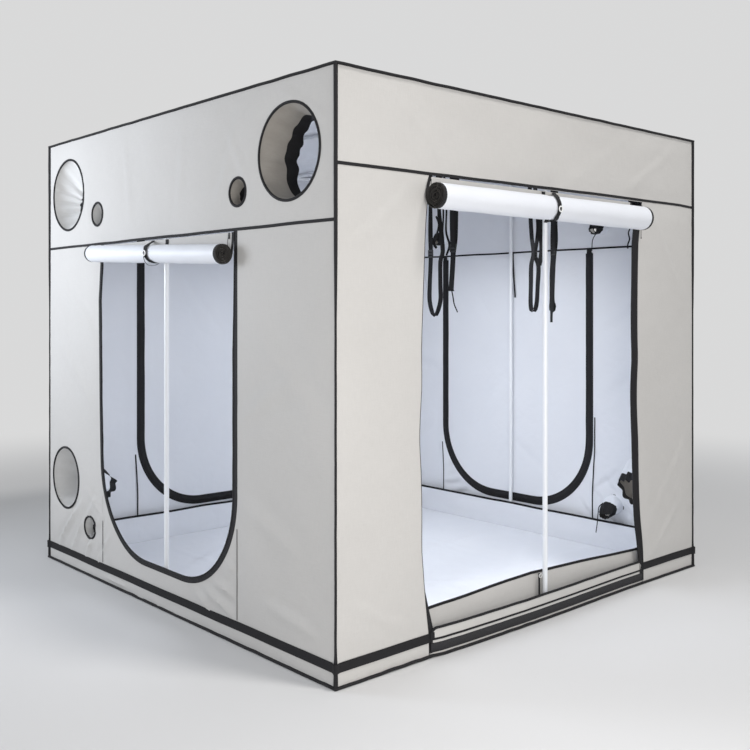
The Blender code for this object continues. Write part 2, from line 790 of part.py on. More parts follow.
def build_webbing():
    """The strap round the tent's foot, over the corner bindings. It starts in a short tab
    inside the front doorway's left edge and ends at its right edge."""
    stand = CLEARANCE + STRAP / 2
    out = (BINDING_RADIUS + CLEARANCE) * math.sqrt(0.5)
    reach = BINDING_RADIUS + stand
    facet = reach * (math.sqrt(2.0) - 1.0)
    side = [(-3 * BINDING_RADIUS, stand), (out - facet, out + reach), (out + facet, out + reach)]
    turn = side + [(across, along) for along, across in side[::-1]]
    path = [(-FRONT_DOOR_HALF + WEBBING_TAB, -DEPTH / 2 - stand)]
    for sign_x, sign_y in ((-1, -1), (-1, 1), (1, 1), (1, -1)):
        bend = turn if sign_x == sign_y else turn[::-1]
        for x, y in bend:
            path.append((sign_x * (WIDTH / 2 + x), sign_y * (DEPTH / 2 + y)))
    path.append((FRONT_DOOR_HALF, -DEPTH / 2 - stand))
    bm = bmesh.new()
    add_strip(bm, path, STRAP, WEBBING_BOTTOM, WEBBING_BOTTOM + WEBBING_WIDTH, in_plan)
    finish("base_webbing", bm, black_webbing())


# Rolled-up doors

def spiral(centre, radius, core, length, thickness):
    """The rolled sheet's middle line in (y, z), from the wall side down and round."""
    start = radius - thickness / 2
    pitch = math.pi * (start ** 2 - core ** 2) / length
    turns = (start - core) / pitch
    points = []
    for i in range(int(turns * ROLL_STEPS) + 1):
        turn = 2 * math.pi * i / ROLL_STEPS
        reach = start - pitch * i / ROLL_STEPS
        points.append((centre[0] + reach * math.cos(turn), centre[1] - reach * math.sin(turn)))
    print("rolled door: %.1f turns, %.2f mm between layers" % (turns, (pitch - thickness) * 1000))
    return points


def roll_hinge(seam):
    """Where a rolled door hangs from its header seam, in (y, z)."""
    return -CLEARANCE - CANVAS / 2, seam - SEAM_TAPE_WIDTH / 2 - CLEARANCE - CANVAS / 2


class Roll:
    """A door rolled up outwards from its foot, hanging by its own top edge."""

    def __init__(self, side, wall, seam, middle, half, radius, out, drop, length, strap_at):
        self.side = side
        self.wall = wall
        self.middle = middle
        self.half = half
        self.radius = radius
        self.centre = (-out, seam - drop)
        self.length = length
        self.strap_at = strap_at
        self.pivot = roll_hinge(seam)

    def build_sheet(self):
        path = [self.pivot] + spiral(self.centre, self.radius, ROLL_CORE, self.length, CANVAS)
        bm = bmesh.new()
        add_strip(bm, path, CANVAS, self.middle - self.half, self.middle + self.half, in_side_view)
        finish(self.side + "_door_roll", bm, lining(), self.wall, (self.middle, *self.pivot))

    def build_strap(self):
        """The strap from the seam down the roll's front, under it and up behind."""
        reach = self.radius + CLEARANCE + STRAP / 2
        stand = CANVAS / 2 + CLEARANCE + STRAP / 2
        y, z = self.pivot
        around = arc(self.centre, reach, 80, 350, 2 * CORNER_STEPS)
        path = [(y - stand, z - STRAP)] + around + [(y + stand, z - STRAP)]
        half = ROLL_STRAP_WIDTH / 2
        bm = bmesh.new()
        add_strip(bm, path, STRAP, self.strap_at - half, self.strap_at + half, in_side_view)
        finish(self.side + "_roll_strap", bm, black_webbing(), self.wall, (self.strap_at, y, z))

    def build_ring(self):
        """The ring that the strap is drawn through, lying on it at the roll's front."""
        turn = math.pi - math.asin(RING_ABOVE_FRONT / self.radius)
        outwards = Vector((0.0, math.cos(turn), math.sin(turn)))
        stand = self.radius + 2 * CLEARANCE + STRAP + RING_WIRE
        middle = Vector((self.strap_at, *self.centre)) + outwards * stand
        bm = bmesh.new()
        add_ring(bm, middle, outwards, RING_RADIUS, RING_WIRE)
        finish(self.side + "_roll_ring", bm, white_plastic(), self.wall, (self.strap_at, *self.pivot))


def add_ring(bm, centre, facing, radius, wire):
    across, up = frame_about(facing)
    rings = []
    for i in range(RING_STEPS):
        turn = 2 * math.pi * i / RING_STEPS
        out = math.cos(turn) * across + math.sin(turn) * up
        rings.append(ring_of(bm, centre + radius * out, wire, out, facing.normalized(), WIRE_SIDES))
    for i in range(RING_STEPS):
        bridge(bm, rings[i], rings[(i + 1) % RING_STEPS])


def build_rolls(front, left):
    rolls = (
        Roll(
            "front", front, FRONT_SEAM, -FRONT_ROLL_SHIFT, FRONT_ROLL_HALF, FRONT_ROLL_RADIUS,
            FRONT_ROLL_OUT, FRONT_ROLL_DROP, FRONT_SEAM - HOOK_STRIP_BOTTOM - FRONT_ROLL_DROP,
            FRONT_STRAP_AT,
        ),
        Roll(
            "left", left, SIDE_SEAM, -SIDE_ROLL_SHIFT, SIDE_ROLL_HALF, SIDE_ROLL_RADIUS, SIDE_ROLL_OUT,
            SIDE_ROLL_DROP, SIDE_SEAM - DOOR_BOTTOM - SIDE_ROLL_DROP, SIDE_STRAP_AT,
        ),
    )
    for roll in rolls:
        roll.build_sheet()
        roll.build_strap()
        roll.build_ring()


# Zip sliders

def build_slider(name, wall, x, z, aside):
    """A slider on the tape's outer face, with a knotted cord pull that hangs from it, aside
    of its middle so that two pulls hang past each other."""
    face = -CLEARANCE
    half = SLIDER_LENGTH / 2
    shoulder, tail = SLIDER_WIDTH / 2, SLIDER_WIDTH / 3
    outline = [
        (x - tail, z - half), (x + tail, z - half), (x + shoulder, z),
        (x + shoulder, z + half), (x - shoulder, z + half), (x - shoulder, z),
    ]
    body, cord = bmesh.new(), bmesh.new()
    add_prism(body, outline, face - SLIDER_DEPTH, face)
    front = face - SLIDER_DEPTH
    stand = front - PULL_CORD_RADIUS - 2 * CLEARANCE
    foot = Vector((x + aside, stand, z - PULL_LENGTH))
    path = [Vector((x + aside, front, z)), Vector((x + aside, stand, z - half)), foot]
    add_bent_rod(cord, path, PULL_CORD_RADIUS, WIRE_SIDES, X_AXIS)
    joined = [finish("slider", body, black_plastic()), finish("pull", cord, black_plastic())]
    knot = Z_AXIS * PULL_KNOT_RADIUS
    joined.append(rod_guide("knot", foot - knot, foot + knot, PULL_KNOT_RADIUS, BINDING_SIDES))
    mesh = combined(joined, [])
    finish_mesh(name, mesh, black_plastic(), Matrix.Identity(4), wall, (x, 0.0, z))


def build_sliders(right, back):
    """Both zipped doors are closed by two sliders that meet on one leg."""
    side_leg = SIDE_BAY_HALF - CLOSED_TAPE / 2
    back_leg = BACK_BAY_HALF - CLOSED_TAPE / 2
    apart = (SLIDER_LENGTH + CLEARANCE) / 2
    aside = SLIDER_WIDTH / 4
    for side, wall, x in (("right", right, -side_leg), ("back", back, back_leg)):
        build_slider(side + "_slider_upper", wall, x, CLOSED_SLIDER_AT + apart, aside)
        build_slider(side + "_slider_lower", wall, x, CLOSED_SLIDER_AT - apart, -aside)


# Hanging belts

def build_belt(name, x, y):
    """A webbing belt over a roof bar: both ends drop to a ladder buckle, with a long loop
    below it."""
    low, high = y - BELT_WIDTH / 2, y + BELT_WIDTH / 2
    wrap = POLE_RADIUS + CLEARANCE + STRAP / 2
    bar = BUCKLE_HEIGHT / 5
    buckle_top = BELT_BUCKLE_AT + BUCKLE_HEIGHT / 2
    buckle_foot = BELT_BUCKLE_AT - BUCKLE_HEIGHT / 2
    apart = STRAP
    spread = BELT_SPREAD / 2
    middle = (BELT_BUCKLE_AT + BELT_BOTTOM) / 2
    upper, lower = bmesh.new(), bmesh.new()
    drop = [(apart, buckle_top + bar), (apart, buckle_top - bar / 2)]
    over = arc((0.0, FRAME_TOP), wrap, 180, 0, BEND_STEPS)
    path = [(-across, z) for across, z in drop[::-1]] + over + drop
    add_strip(upper, [(x + across, z) for across, z in path], STRAP, low, high, in_front_view)
    drop = [(spread, middle), (apart, buckle_foot - bar), (apart, buckle_foot + bar / 2)]
    under = arc((0.0, BELT_BOTTOM + spread), spread, 180, 360, BEND_STEPS)
    path = [(-across, z) for across, z in drop[::-1]] + under + drop
    add_strip(lower, [(x + across, z) for across, z in path], STRAP, low, high, in_front_view)
    joined = [buckle_guide(x, y)]
    joined += [finish("belt", bm, black_webbing()) for bm in (upper, lower)]
    mesh = combined(joined, buckle_slots(x, y, bar))
    finish_mesh(name, mesh, black_webbing(), Matrix.Identity(4), None, (x, y, FRAME_TOP))


def buckle_guide(x, y):
    half = Vector((BUCKLE_DEPTH, BUCKLE_WIDTH, BUCKLE_HEIGHT)) / 2
    middle = Vector((x, y, BELT_BUCKLE_AT))
    return box_guide("buckle", middle - half, middle + half)


def buckle_slots(x, y, bar):
    """The two windows of the moulded ladder buckle."""
    half = Vector((BUCKLE_DEPTH, BELT_WIDTH / 2, bar / 2))
    middles = [Vector((x, y, BELT_BUCKLE_AT + sign * bar)) for sign in (-1, 1)]
    return [box_guide("slot", middle - half, middle + half) for middle in middles]


def build_belts():
    number = 1
    for x, places in ((-ROOF_BAR_OFFSET, LEFT_BELTS_AT), (ROOF_BAR_OFFSET, RIGHT_BELTS_AT)):
        for y in places:
            build_belt("hanging_belt_%d" % number, x, y)
            number += 1


def build_tent():
    clear_scene()
    front = add_empty("front_wall_frame", (0.0, -DEPTH / 2, 0.0))
    right = add_empty("right_wall_frame", (WIDTH / 2, 0.0, 0.0), math.pi / 2)
    back = add_empty("back_wall_frame", (0.0, DEPTH / 2, 0.0), math.pi)
    left = add_empty("left_wall_frame", (-WIDTH / 2, 0.0, 0.0), -math.pi / 2)
    build_rails()
    build_poles()
    build_roof_and_ground()
    build_front_wall(front)
    build_back_wall(back)
    for side, wall in (("left", left), ("right", right)):
        build_side_wall(side, wall)
        build_sleeves(side, wall)
    build_doors(right, back, left)
    build_front_sill(front)
    build_front_zip_tapes(front)
    build_tray()
    build_edge_binding(((front, FRONT_SEAM), (right, SIDE_SEAM), (back, BACK_SEAM), (left, SIDE_SEAM)))
    build_webbing()
    build_rolls(front, left)
    build_sliders(right, back)
    build_belts()


build_tent()
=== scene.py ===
from collections import namedtuple
import math

import bmesh
import bpy
import numpy as np
from mathutils import Matrix, Vector, noise
from mathutils.geometry import delaunay_2d_cdt


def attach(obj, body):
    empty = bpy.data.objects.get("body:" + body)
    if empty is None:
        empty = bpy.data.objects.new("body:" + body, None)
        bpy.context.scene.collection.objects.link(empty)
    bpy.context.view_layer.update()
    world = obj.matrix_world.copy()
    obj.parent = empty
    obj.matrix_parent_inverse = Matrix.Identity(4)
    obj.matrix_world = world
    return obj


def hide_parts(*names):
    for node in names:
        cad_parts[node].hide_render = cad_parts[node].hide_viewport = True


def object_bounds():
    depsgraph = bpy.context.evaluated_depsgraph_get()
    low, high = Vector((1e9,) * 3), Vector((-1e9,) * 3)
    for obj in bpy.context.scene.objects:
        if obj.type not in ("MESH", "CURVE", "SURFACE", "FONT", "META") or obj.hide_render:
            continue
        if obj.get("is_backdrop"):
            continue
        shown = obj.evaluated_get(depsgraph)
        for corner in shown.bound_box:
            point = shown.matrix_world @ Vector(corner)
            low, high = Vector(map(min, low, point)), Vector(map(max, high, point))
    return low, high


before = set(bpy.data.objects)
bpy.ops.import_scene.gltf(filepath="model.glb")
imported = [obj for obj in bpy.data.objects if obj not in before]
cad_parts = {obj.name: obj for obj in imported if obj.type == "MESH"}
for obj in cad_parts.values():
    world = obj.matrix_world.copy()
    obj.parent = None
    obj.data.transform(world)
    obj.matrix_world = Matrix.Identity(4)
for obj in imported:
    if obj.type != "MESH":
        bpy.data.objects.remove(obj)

cad_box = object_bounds()
bpy.ops.object.select_all(action="DESELECT")


# Camera: level, at chest height off the tent's near left corner, with the picture shifted
# down so that the uprights stay upright in it.
camera = bpy.data.objects.new("camera", bpy.data.cameras.new("camera"))
camera.data.sensor_width = 36
camera.data.lens = 45.93
camera.data.shift_y = -0.0910
camera.location = (-3.3422, -3.7848, 1.3454)
camera.rotation_euler = (math.pi / 2, 0, -0.7332)
bpy.context.scene.collection.objects.link(camera)
bpy.context.scene.camera = camera
bpy.context.scene.view_settings.view_transform = "Standard"


# Studio: a pale floor that runs into a pale backdrop with no line between them, soft light
# all round, one lamp overhead, one low at the front, a cooler one at the left, two inside.
class Field:
    """The output of one node. Python's operators on it add Math nodes."""

    def __init__(self, finish, socket):
        self.finish, self.socket = finish, socket

    def math(self, operation, *others):
        inputs = dict(enumerate((self, *others)))
        return self.finish.node("ShaderNodeMath", {"operation": operation}, inputs)

    def __rsub__(self, other):
        return self * -1.0 + other

    def clamped(self):
        return self.math("MAXIMUM", 0.0).math("MINIMUM", 1.0)


for operator, operation in (
    ("add", "ADD"), ("radd", "ADD"), ("mul", "MULTIPLY"), ("rmul", "MULTIPLY"), ("sub", "SUBTRACT"),
    ("truediv", "DIVIDE"), ("pow", "POWER"),
):
    setattr(Field, "__%s__" % operator, lambda self, other, kind=operation: self.math(kind, other))


class Finish:
    """A material made of nodes."""

    def __init__(self, name, **constants):
        self.material = bpy.data.materials.new(name)
        self.material.use_nodes = True
        self.tree = self.material.node_tree
        self.shader = self.tree.nodes["Principled BSDF"]
        for socket, value in constants.items():
            self.shader.inputs[socket.replace("_", " ")].default_value = value

    def node(self, kind, settings=None, inputs=None, output=0):
        made = self.tree.nodes.new(kind)
        for key, value in (settings or {}).items():
            setattr(made, key, value)
        for key, value in (inputs or {}).items():
            self.feed(made.inputs[key], value)
        return Field(self, made.outputs[output])

    def feed(self, socket, value):
        if isinstance(value, Field):
            self.tree.links.new(value.socket, socket)
        else:
            socket.default_value = value

    def set(self, **inputs):
        for socket, value in inputs.items():
            self.feed(self.shader.inputs[socket.replace("_", " ")], value)
        return self

    def place(self):
        return self.node("ShaderNodeTexCoord", output="Object")

    def stretched(self, coordinates, scale):
        settings = {"vector_type": "POINT"}
        return self.node("ShaderNodeMapping", settings, {"Vector": coordinates, "Scale": scale})

    def noise(self, coordinates, scale, detail=3.0, roughness=0.5):
        inputs = {"Vector": coordinates, "Scale": scale, "Detail": detail, "Roughness": roughness}
        return self.node("ShaderNodeTexNoise", None, inputs)

    def mixed(self, factor, first, second):
        inputs = {0: factor, 6: first, 7: second}
        return self.node("ShaderNodeMix", {"data_type": "RGBA"}, inputs, output=2)

    def parts(self, coordinates):
        """The three numbers of a vector."""
        split = self.tree.nodes.new("ShaderNodeSeparateXYZ")
        self.feed(split.inputs[0], coordinates)
        return [Field(self, socket) for socket in split.outputs]

    def bump(self, height, distance, strength=1.0):
        inputs = {"Height": height, "Distance": distance, "Strength": strength}
        return self.node("ShaderNodeBump", None, inputs)


BACKDROP = (0.695, 0.696, 0.697, 1.0)
FLOOR = (0.645, 0.642, 0.640, 1.0)
NEAR_EDGE = 2.6
FAR_EDGE = 6.5

bpy.ops.mesh.primitive_plane_add(size=80)
floor = bpy.context.object
floor.name = "studio_floor"
studio = Finish("studio_floor", Base_Color=FLOOR, Roughness=0.9)
across, along, _ = studio.parts(studio.place())
distance = (across * across + along * along) ** 0.5
fade = ((distance - NEAR_EDGE) / (FAR_EDGE - NEAR_EDGE)).clamped()
fade = fade * fade * (3.0 - 2.0 * fade)
glow = studio.node("ShaderNodeEmission", None, {"Color": BACKDROP})
surface = studio.node("ShaderNodeMixShader", None, {0: fade, 2: glow})
shader_out = studio.shader.outputs[0]
studio.tree.links.new(shader_out, surface.socket.node.inputs[1])
studio.tree.links.new(surface.socket, studio.tree.nodes["Material Output"].inputs[0])
floor.data.materials.append(studio.material)
floor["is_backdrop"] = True
floor.select_set(False)

world = bpy.data.worlds.new("studio")
bpy.context.scene.world = world
world.use_nodes = True
sky = world.node_tree
fill = sky.nodes["Background"]
fill.inputs["Color"].default_value = (0.93, 0.96, 1.0, 1.0)
fill.inputs["Strength"].default_value = 0.50
seen, rays, shown, glossy, either = (
    sky.nodes.new("ShaderNode" + kind) for kind in ("Background", "LightPath", "Math", "Math", "MixShader")
)
seen.inputs["Color"].default_value = BACKDROP
shown.operation = glossy.operation = "MAXIMUM"
for output, taker, number in (
    (rays.outputs["Is Camera Ray"], shown, 0), (rays.outputs["Is Glossy Ray"], glossy, 0),
    (rays.outputs["Is Transmission Ray"], glossy, 1), (glossy.outputs[0], shown, 1),
    (shown.outputs[0], either, 0), (fill.outputs[0], either, 1), (seen.outputs[0], either, 2),
    (either.outputs[0], sky.nodes["World Output"], 0),
):
    sky.links.new(output, taker.inputs[number])

INSIDE = (0.93, 0.96, 1.0)
for name, place, aim, size, power, colour, spread in (
    ("overhead_lamp", (0.3, -4.2, 8.6), (-0.2, -1.6, 0), 1.3, 315, (1.0, 0.98, 0.96), 180),
    ("front_lamp", (-2.0, -3.65, 1.1), (-0.9, -1.2, 1.0), 1.7, 42, (1.0, 0.975, 0.95), 180),
    ("left_lamp", (-3.5, 2.2, 1.9), (-1.2, 0.8, 1.80), 1.4, 34, (0.84, 0.90, 1.0), 110),
    ("inner_lamp", (0.05, -0.1, 1.68), (0.05, -0.1, 0), 1.6, 13, INSIDE, 180),
    ("tray_lamp", (0.4, 0.0, 1.25), (0.4, 0.0, 0), 1.3, 2.2, INSIDE, 120),
):
    light = bpy.data.lights.new(name, "AREA")
    light.shape = "DISK"
    light.size, light.energy, light.color = size, power, colour
    light.spread = math.radians(spread)
    light.use_shadow = True
    stand = bpy.data.objects.new(name, light)
    stand.location = place
    stand.rotation_euler = (Vector(aim) - Vector(place)).to_track_quat("-Z", "Y").to_euler()
    stand.visible_camera = False
    bpy.context.scene.collection.objects.link(stand)


# Frame: 22 mm steel tubes, powder-coated white, pushed into corner and tee connectors.
# Their shapes come from the CAD model and only the finish is made here.
coated_steel = Finish("white_powder_coat", Roughness=0.32, Coat_Weight=0.25, Coat_Roughness=0.2)
grain = coated_steel.noise(coated_steel.place(), 900.0, 2.0)
mottle = coated_steel.noise(coated_steel.place(), 14.0, 4.0)
coated_steel.set(
    Base_Color=coated_steel.mixed(mottle, (0.80, 0.82, 0.86, 1), (0.86, 0.875, 0.90, 1)),
    Roughness=0.28 + 0.14 * mottle,
    Normal=coated_steel.bump(grain, 0.0001, 0.5),
)
for name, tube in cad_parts.items():
    if name.endswith(("_rail", "_upright", "_door_pole", "_roof_bar")):
        tube.data.materials.clear()
        tube.data.materials.append(coated_steel.material)


# Canvas: heavy woven polyester, grey outside and lined with white film inside, cut to the
# walls' shapes, hung on the frame and sewn together along its edges.
CELL = 0.018
CLOTH = 0.0012
HALF = 1.2
TOP = 2.2
FRONT_SEAM = 1.853
SIDE_SEAM = 1.653
SIDE_BAY = 0.583
BACK_BAY = 0.684

canvas = Finish("grey_canvas", Roughness=0.78, Sheen_Weight=0.12, Sheen_Roughness=0.5)
uv = canvas.node("ShaderNodeUVMap")
u, v, _ = canvas.parts(uv)
THREAD = 0.0014
weave = (u * (math.pi / THREAD)).math("SINE") * (v * (math.pi / THREAD)).math("SINE")
slub = canvas.noise(canvas.stretched(uv, (40.0, 4.0, 1.0)), 6.0, 3.0)
weft = canvas.noise(canvas.stretched(uv, (4.0, 40.0, 1.0)), 6.0, 3.0)
cloud = canvas.noise(uv, 1.7, 3.0)
crumple = canvas.noise(uv, 9.0, 4.0, 0.45)
tone = (0.45 * cloud + 0.3 * slub + 0.25 * weft).clamped()
canvas.set(
    Base_Color=canvas.mixed(tone, (0.470, 0.456, 0.436, 1), (0.625, 0.610, 0.588, 1)),
    Roughness=0.70 + 0.16 * slub,
    Normal=canvas.bump(weave * 0.00018 + slub * 0.0010 + weft * 0.0008 + crumple * 0.010, 1.0, 0.5),
)

film = Finish("white_lining", Roughness=0.5)
uv = film.node("ShaderNodeUVMap")
cloud = film.noise(uv, 2.2, 3.0)
crumple = film.noise(uv, 11.0, 5.0, 0.5)
sharp = (film.noise(uv, 5.0, 2.0) - 0.5).math("ABSOLUTE")
film.set(
    Base_Color=film.mixed(cloud, (0.745, 0.768, 0.822, 1), (0.815, 0.830, 0.868, 1)),
    Roughness=0.38 + 0.25 * crumple,
    Normal=film.bump(crumple * 0.009 + sharp * 0.012, 1.0, 0.45),
)


def mm(table):
    """A table written in millimetres, in metres."""
    return tuple(map(mm, table)) if isinstance(table, tuple) else table / 1000


def on_front(across, out, up):
    return Vector((across, -HALF - out, up))


def on_right(across, out, up):
    return Vector((HALF + out, across, up))


def on_back(across, out, up):
    return Vector((-across, HALF + out, up))


def on_left(across, out, up):
    return Vector((-HALF - out, -across, up))


WALLS = {
    "front": (on_front, None, FRONT_SEAM), "right": (on_right, SIDE_BAY, SIDE_SEAM),
    "back": (on_back, BACK_BAY, FRONT_SEAM), "left": (on_left, SIDE_BAY, SIDE_SEAM),
}


def spaced(line, step, closed=True):
    """The same line with no two points further apart than step."""
    ends = line[1:] + line[:1] if closed else line[1:]
    made = []
    for start, end in zip(line, ends):
        start, end = Vector(start), Vector(end)
        count = max(1, math.ceil((end - start).length / step - 0.001))
        made += [start.lerp(end, i / count) for i in range(count)]
    return made if closed else made + [Vector(line[-1])]


def gap_to(places, lines):
    """How far each place is from the nearest of the lines."""
    nearest = np.full(len(places), 9.0)
    for line in lines:
        for start, end in zip(line, line[1:]):
            start = np.array(start)
            run = np.array(end) - start
            share = np.clip((places - start) @ run / max(run @ run, 1e-12), 0, 1)
            away = places - start - share[:, None] * run
            nearest = np.minimum(nearest, np.hypot(away[:, 0], away[:, 1]))
    return nearest


def within(places, loop):
    """Whether each place lies inside the closed loop."""
    found = np.zeros(len(places), bool)
    x, y = places[:, 0], places[:, 1]
    for (ax, ay), (bx, by) in zip(loop, loop[1:] + loop[:1]):
        if ay != by:
            crosses = ((ay > y) != (by > y)) & (x < (bx - ax) * (y - ay) / (by - ay) + ax)
            found ^= crosses
    return found


def flutter(x, y, z):
    """Smooth noise about nought, the same on every run."""
    return noise.noise(Vector((x, y, z)))


def ripples(places, wide, high, seed):
    return np.array([flutter(a / wide, b / high, seed) for a, b in places])


def soft_step(share):
    share = np.clip(share, 0, 1)
    return share * share * (3 - 2 * share)


class Drape:
    """How far a cloth stands out from its flat plane: broad swells, slanting creases, each
    (start, end, width, height), and puckers along the lines where it is sewn."""

    def __init__(self, seed, swell, creases, reach=0.09, bias=0.35):
        self.seed, self.swell, self.creases = seed, swell, creases
        self.reach, self.bias = reach, bias

    def __call__(self, places, sewn):
        free = soft_step(sewn / self.reach)
        broad = self.bias + ripples(places, 0.55, 0.80, self.seed)
        fine = ripples(places, 0.16, 0.34, self.seed + 7)
        out = free * self.swell * (broad + 0.35 * fine)
        near = np.exp(-((sewn - 0.028) / 0.022) ** 2)
        out += near * 0.0010 * ripples(places, 0.045, 0.045, self.seed + 3)
        for start, end, width, height in self.creases:
            run = np.array(end) - np.array(start)
            length = np.hypot(*run)
            share = (places - np.array(start)) @ run / length ** 2
            side = (places - np.array(start)) @ np.array((-run[1], run[0])) / length
            side = side + 0.25 * width * np.sin(share * 5.0 + self.seed)
            taper = np.sin(np.pi * np.clip(share, 0, 1)) ** 0.7
            hump = np.exp(-(side / width) ** 2) - 0.45 * np.exp(-((side - 1.6 * width) / width) ** 2)
            out += soft_step(sewn / 0.03) * taper * height * hump
        return out


def lie_flat(places, sewn):
    return np.zeros(len(places))


def belongs(piece, node=None, body="tent"):
    """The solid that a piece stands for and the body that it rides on."""
    if node:
        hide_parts(node)
    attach(piece, body)


def cloth_piece(piece, slot, node, body="tent", **sheet):
    """A soft piece, put with the solid it stands for and the body it rides on. Its flat size in metres and
    how it is held are given but not used.
    """
    belongs(piece, node, body)


def heading(place, across=1, out=0):
    """A way over a wall, by default the level one to the right as seen from outside."""
    return place(across, out, 0) - place(0, 0, 0)


def new_piece(name, points, faces, finishes, uvs=None, marks=None):
    """A mesh object from points and faces, with its map in metres where uvs gives it."""
    mesh = bpy.data.meshes.new(name)
    mesh.from_pydata([tuple(point) for point in points], [], faces)
    for finish in finishes:
        mesh.materials.append(finish.material)
    if marks is not None:
        mesh.polygons.foreach_set("material_index", marks)
    if uvs is not None:
        layer = mesh.uv_layers.new(name="cut")
        by_corner = len(uvs) == len(mesh.loops)
        flat = uvs if by_corner else [uvs[loop.vertex_index] for loop in mesh.loops]
        layer.data.foreach_set("uv", np.array(flat, np.float32).ravel())
    mesh.validate()
    mesh.shade_smooth()
    piece = bpy.data.objects.new(name, mesh)
    bpy.context.scene.collection.objects.link(piece)
    return piece


def grid_faces(rows, columns):
    """Faces over rows of points, with columns of them in each row."""
    return [
        (first, first + 1, first + columns + 1, first + columns)
        for row in range(rows - 1) for first in range(row * columns, row * columns + columns - 1)
    ]


def mended(piece, merge=False, face_out=True):
    """Merge points that coincide and turn all faces outwards."""
    bm = bmesh.new()
    bm.from_mesh(piece.data)
    if merge:
        bmesh.ops.remove_doubles(bm, verts=bm.verts, dist=1e-6)
    if face_out:
        bmesh.ops.recalc_face_normals(bm, faces=bm.faces)
    bm.to_mesh(piece.data)
    bm.free()
    return piece


def finished(piece, *modifiers):
    """Add each modifier, given as type and settings, and apply it."""
    bpy.ops.object.select_all(action="DESELECT")
    bpy.context.view_layer.objects.active = piece
    piece.select_set(True)
    for kind, settings in modifiers:
        modifier = piece.modifiers.new(kind.lower(), kind)
        for key, value in settings.items():
            setattr(modifier, key, value)
        bpy.ops.object.modifier_apply(modifier=modifier.name)
    piece.data.set_sharp_from_angle(angle=math.radians(50))
    piece.select_set(False)
    return piece


def thickened(piece, cloth=CLOTH, offset=-1.0, rim=0):
    """Give a cloth its thickness, behind its outer face, lined on the inner one."""
    settings = {
        "thickness": cloth, "offset": offset, "use_rim": True, "material_offset": 1,
        "material_offset_rim": rim,
    }
    return finished(piece, ("SOLIDIFY", settings))


def cut_cloth(name, outline, holes, place, drape, finishes, sewn=(), cell=CELL):
    """A cloth cut to an outline with holes, both in metres, and laid on its place."""
    def covered(places):
        inside = within(places, outline)
        for hole in holes:
            inside &= ~within(places, hole)
        return inside

    low, high = np.array(outline).min(0), np.array(outline).max(0)
    row = cell * math.sqrt(0.75)
    grid = np.array([
        (low[0] + cell / 2 * (j % 2) + i * cell, low[1] + j * row)
        for j in range(int((high[1] - low[1]) / row) + 1) for i in range(int((high[0] - low[0]) / cell) + 1)
    ])
    closed = [loop + loop[:1] for loop in (outline, *holes)]
    grid = grid[covered(grid) & (gap_to(grid, closed) > 0.5 * cell)]
    flat, edges = [], []
    for loop in (outline, *holes):
        loop, first = spaced(loop, cell), len(flat)
        flat += [tuple(point) for point in loop]
        edges += [(first + i, first + (i + 1) % len(loop)) for i in range(len(loop))]
    flat += [tuple(point) for point in grid]
    points, _, faces, _, _, _ = delaunay_2d_cdt([Vector(p) for p in flat], edges, [], 1, 1e-6)
    flat = np.array([tuple(point) for point in points])
    kept = covered(np.array([flat[list(face)].mean(0) for face in faces]))
    faces = [tuple(face) for face, stays in zip(faces, kept) if stays]
    used = sorted({corner for face in faces for corner in face})
    renumbered = {old: new for new, old in enumerate(used)}
    faces = [tuple(renumbered[corner] for corner in face) for face in faces]
    flat = flat[used]
    out = drape(flat, gap_to(flat, closed + list(sewn)))
    points = [place(a, stand, b) for (a, b), stand in zip(flat, out)]
    return thickened(new_piece(name, points, faces, finishes, flat))


def arc(centre, radius, start, end, steps):
    turns = [math.radians(start + (end - start) * i / steps) for i in range(steps + 1)]
    return [(centre[0] + radius * math.cos(a), centre[1] + radius * math.sin(a)) for a in turns]


def u_line(half, low, corner, top, steps=16):
    """Down the left leg of a U-shaped door, round its foot and up the right leg."""
    left = arc((-half + corner, low + corner), corner, 180, 270, steps)
    right = arc((half - corner, low + corner), corner, 270, 360, steps)
    return [(-half, top)] + left + right + [(half, top)]


def rectangle(low_x, low_z, high_x, high_z):
    return [(low_x, low_z), (high_x, low_z), (high_x, high_z), (low_x, high_z)]


BAY_FOOT = 0.168
BAY_CORNER = 0.420
EDGE_GAP = 0.0012
BASE_LINE = 0.077

# Each vent's middle and radius, then how wide and how high the hanging cloth pulls it.
VENTS = {
    "large_rear": (-0.970, 1.924, 0.188),
    "small_rear": (-0.640, 1.802, 0.060),
    "large_front": (0.925, 1.924, 0.188),
    "small_front": (0.590, 1.802, 0.060),
    "medium": (-1.000, 0.456, 0.162),
    "small_low": (-0.720, 0.243, 0.060),
}
OVAL = {
    "large_rear": (0.95, 0.955), "small_rear": (0.94, 0.90), "large_front": (0.995, 0.96),
    "small_front": (0.94, 0.90), "medium": (0.94, 0.955), "small_low": (1.0, 0.87),
}


def vent_round(name, turn, reach):
    """A place at a turn round a vent, which the hanging cloth pulls a little oval."""
    across, up, _ = VENTS[name]
    wide, high = OVAL[name]
    wander = 1 + 0.012 * flutter(1.4 * math.cos(turn), 1.4 * math.sin(turn), across)
    return across + reach * wide * wander * math.cos(turn), up + reach * high * wander * math.sin(turn)


def vent_hole(name):
    steps = 48
    return [vent_round(name, math.tau * i / steps, VENTS[name][2]) for i in range(steps)]


# The front wall is one cut: the header and the panel at each side of the doorway, whose
# two edges hang slack and wander a little to the left of where they are sewn.
def graded(table, at):
    """The size at one place, read between a table's rows of (place, size)."""
    places, sizes = zip(*table)
    return float(np.interp(at, places, sizes))


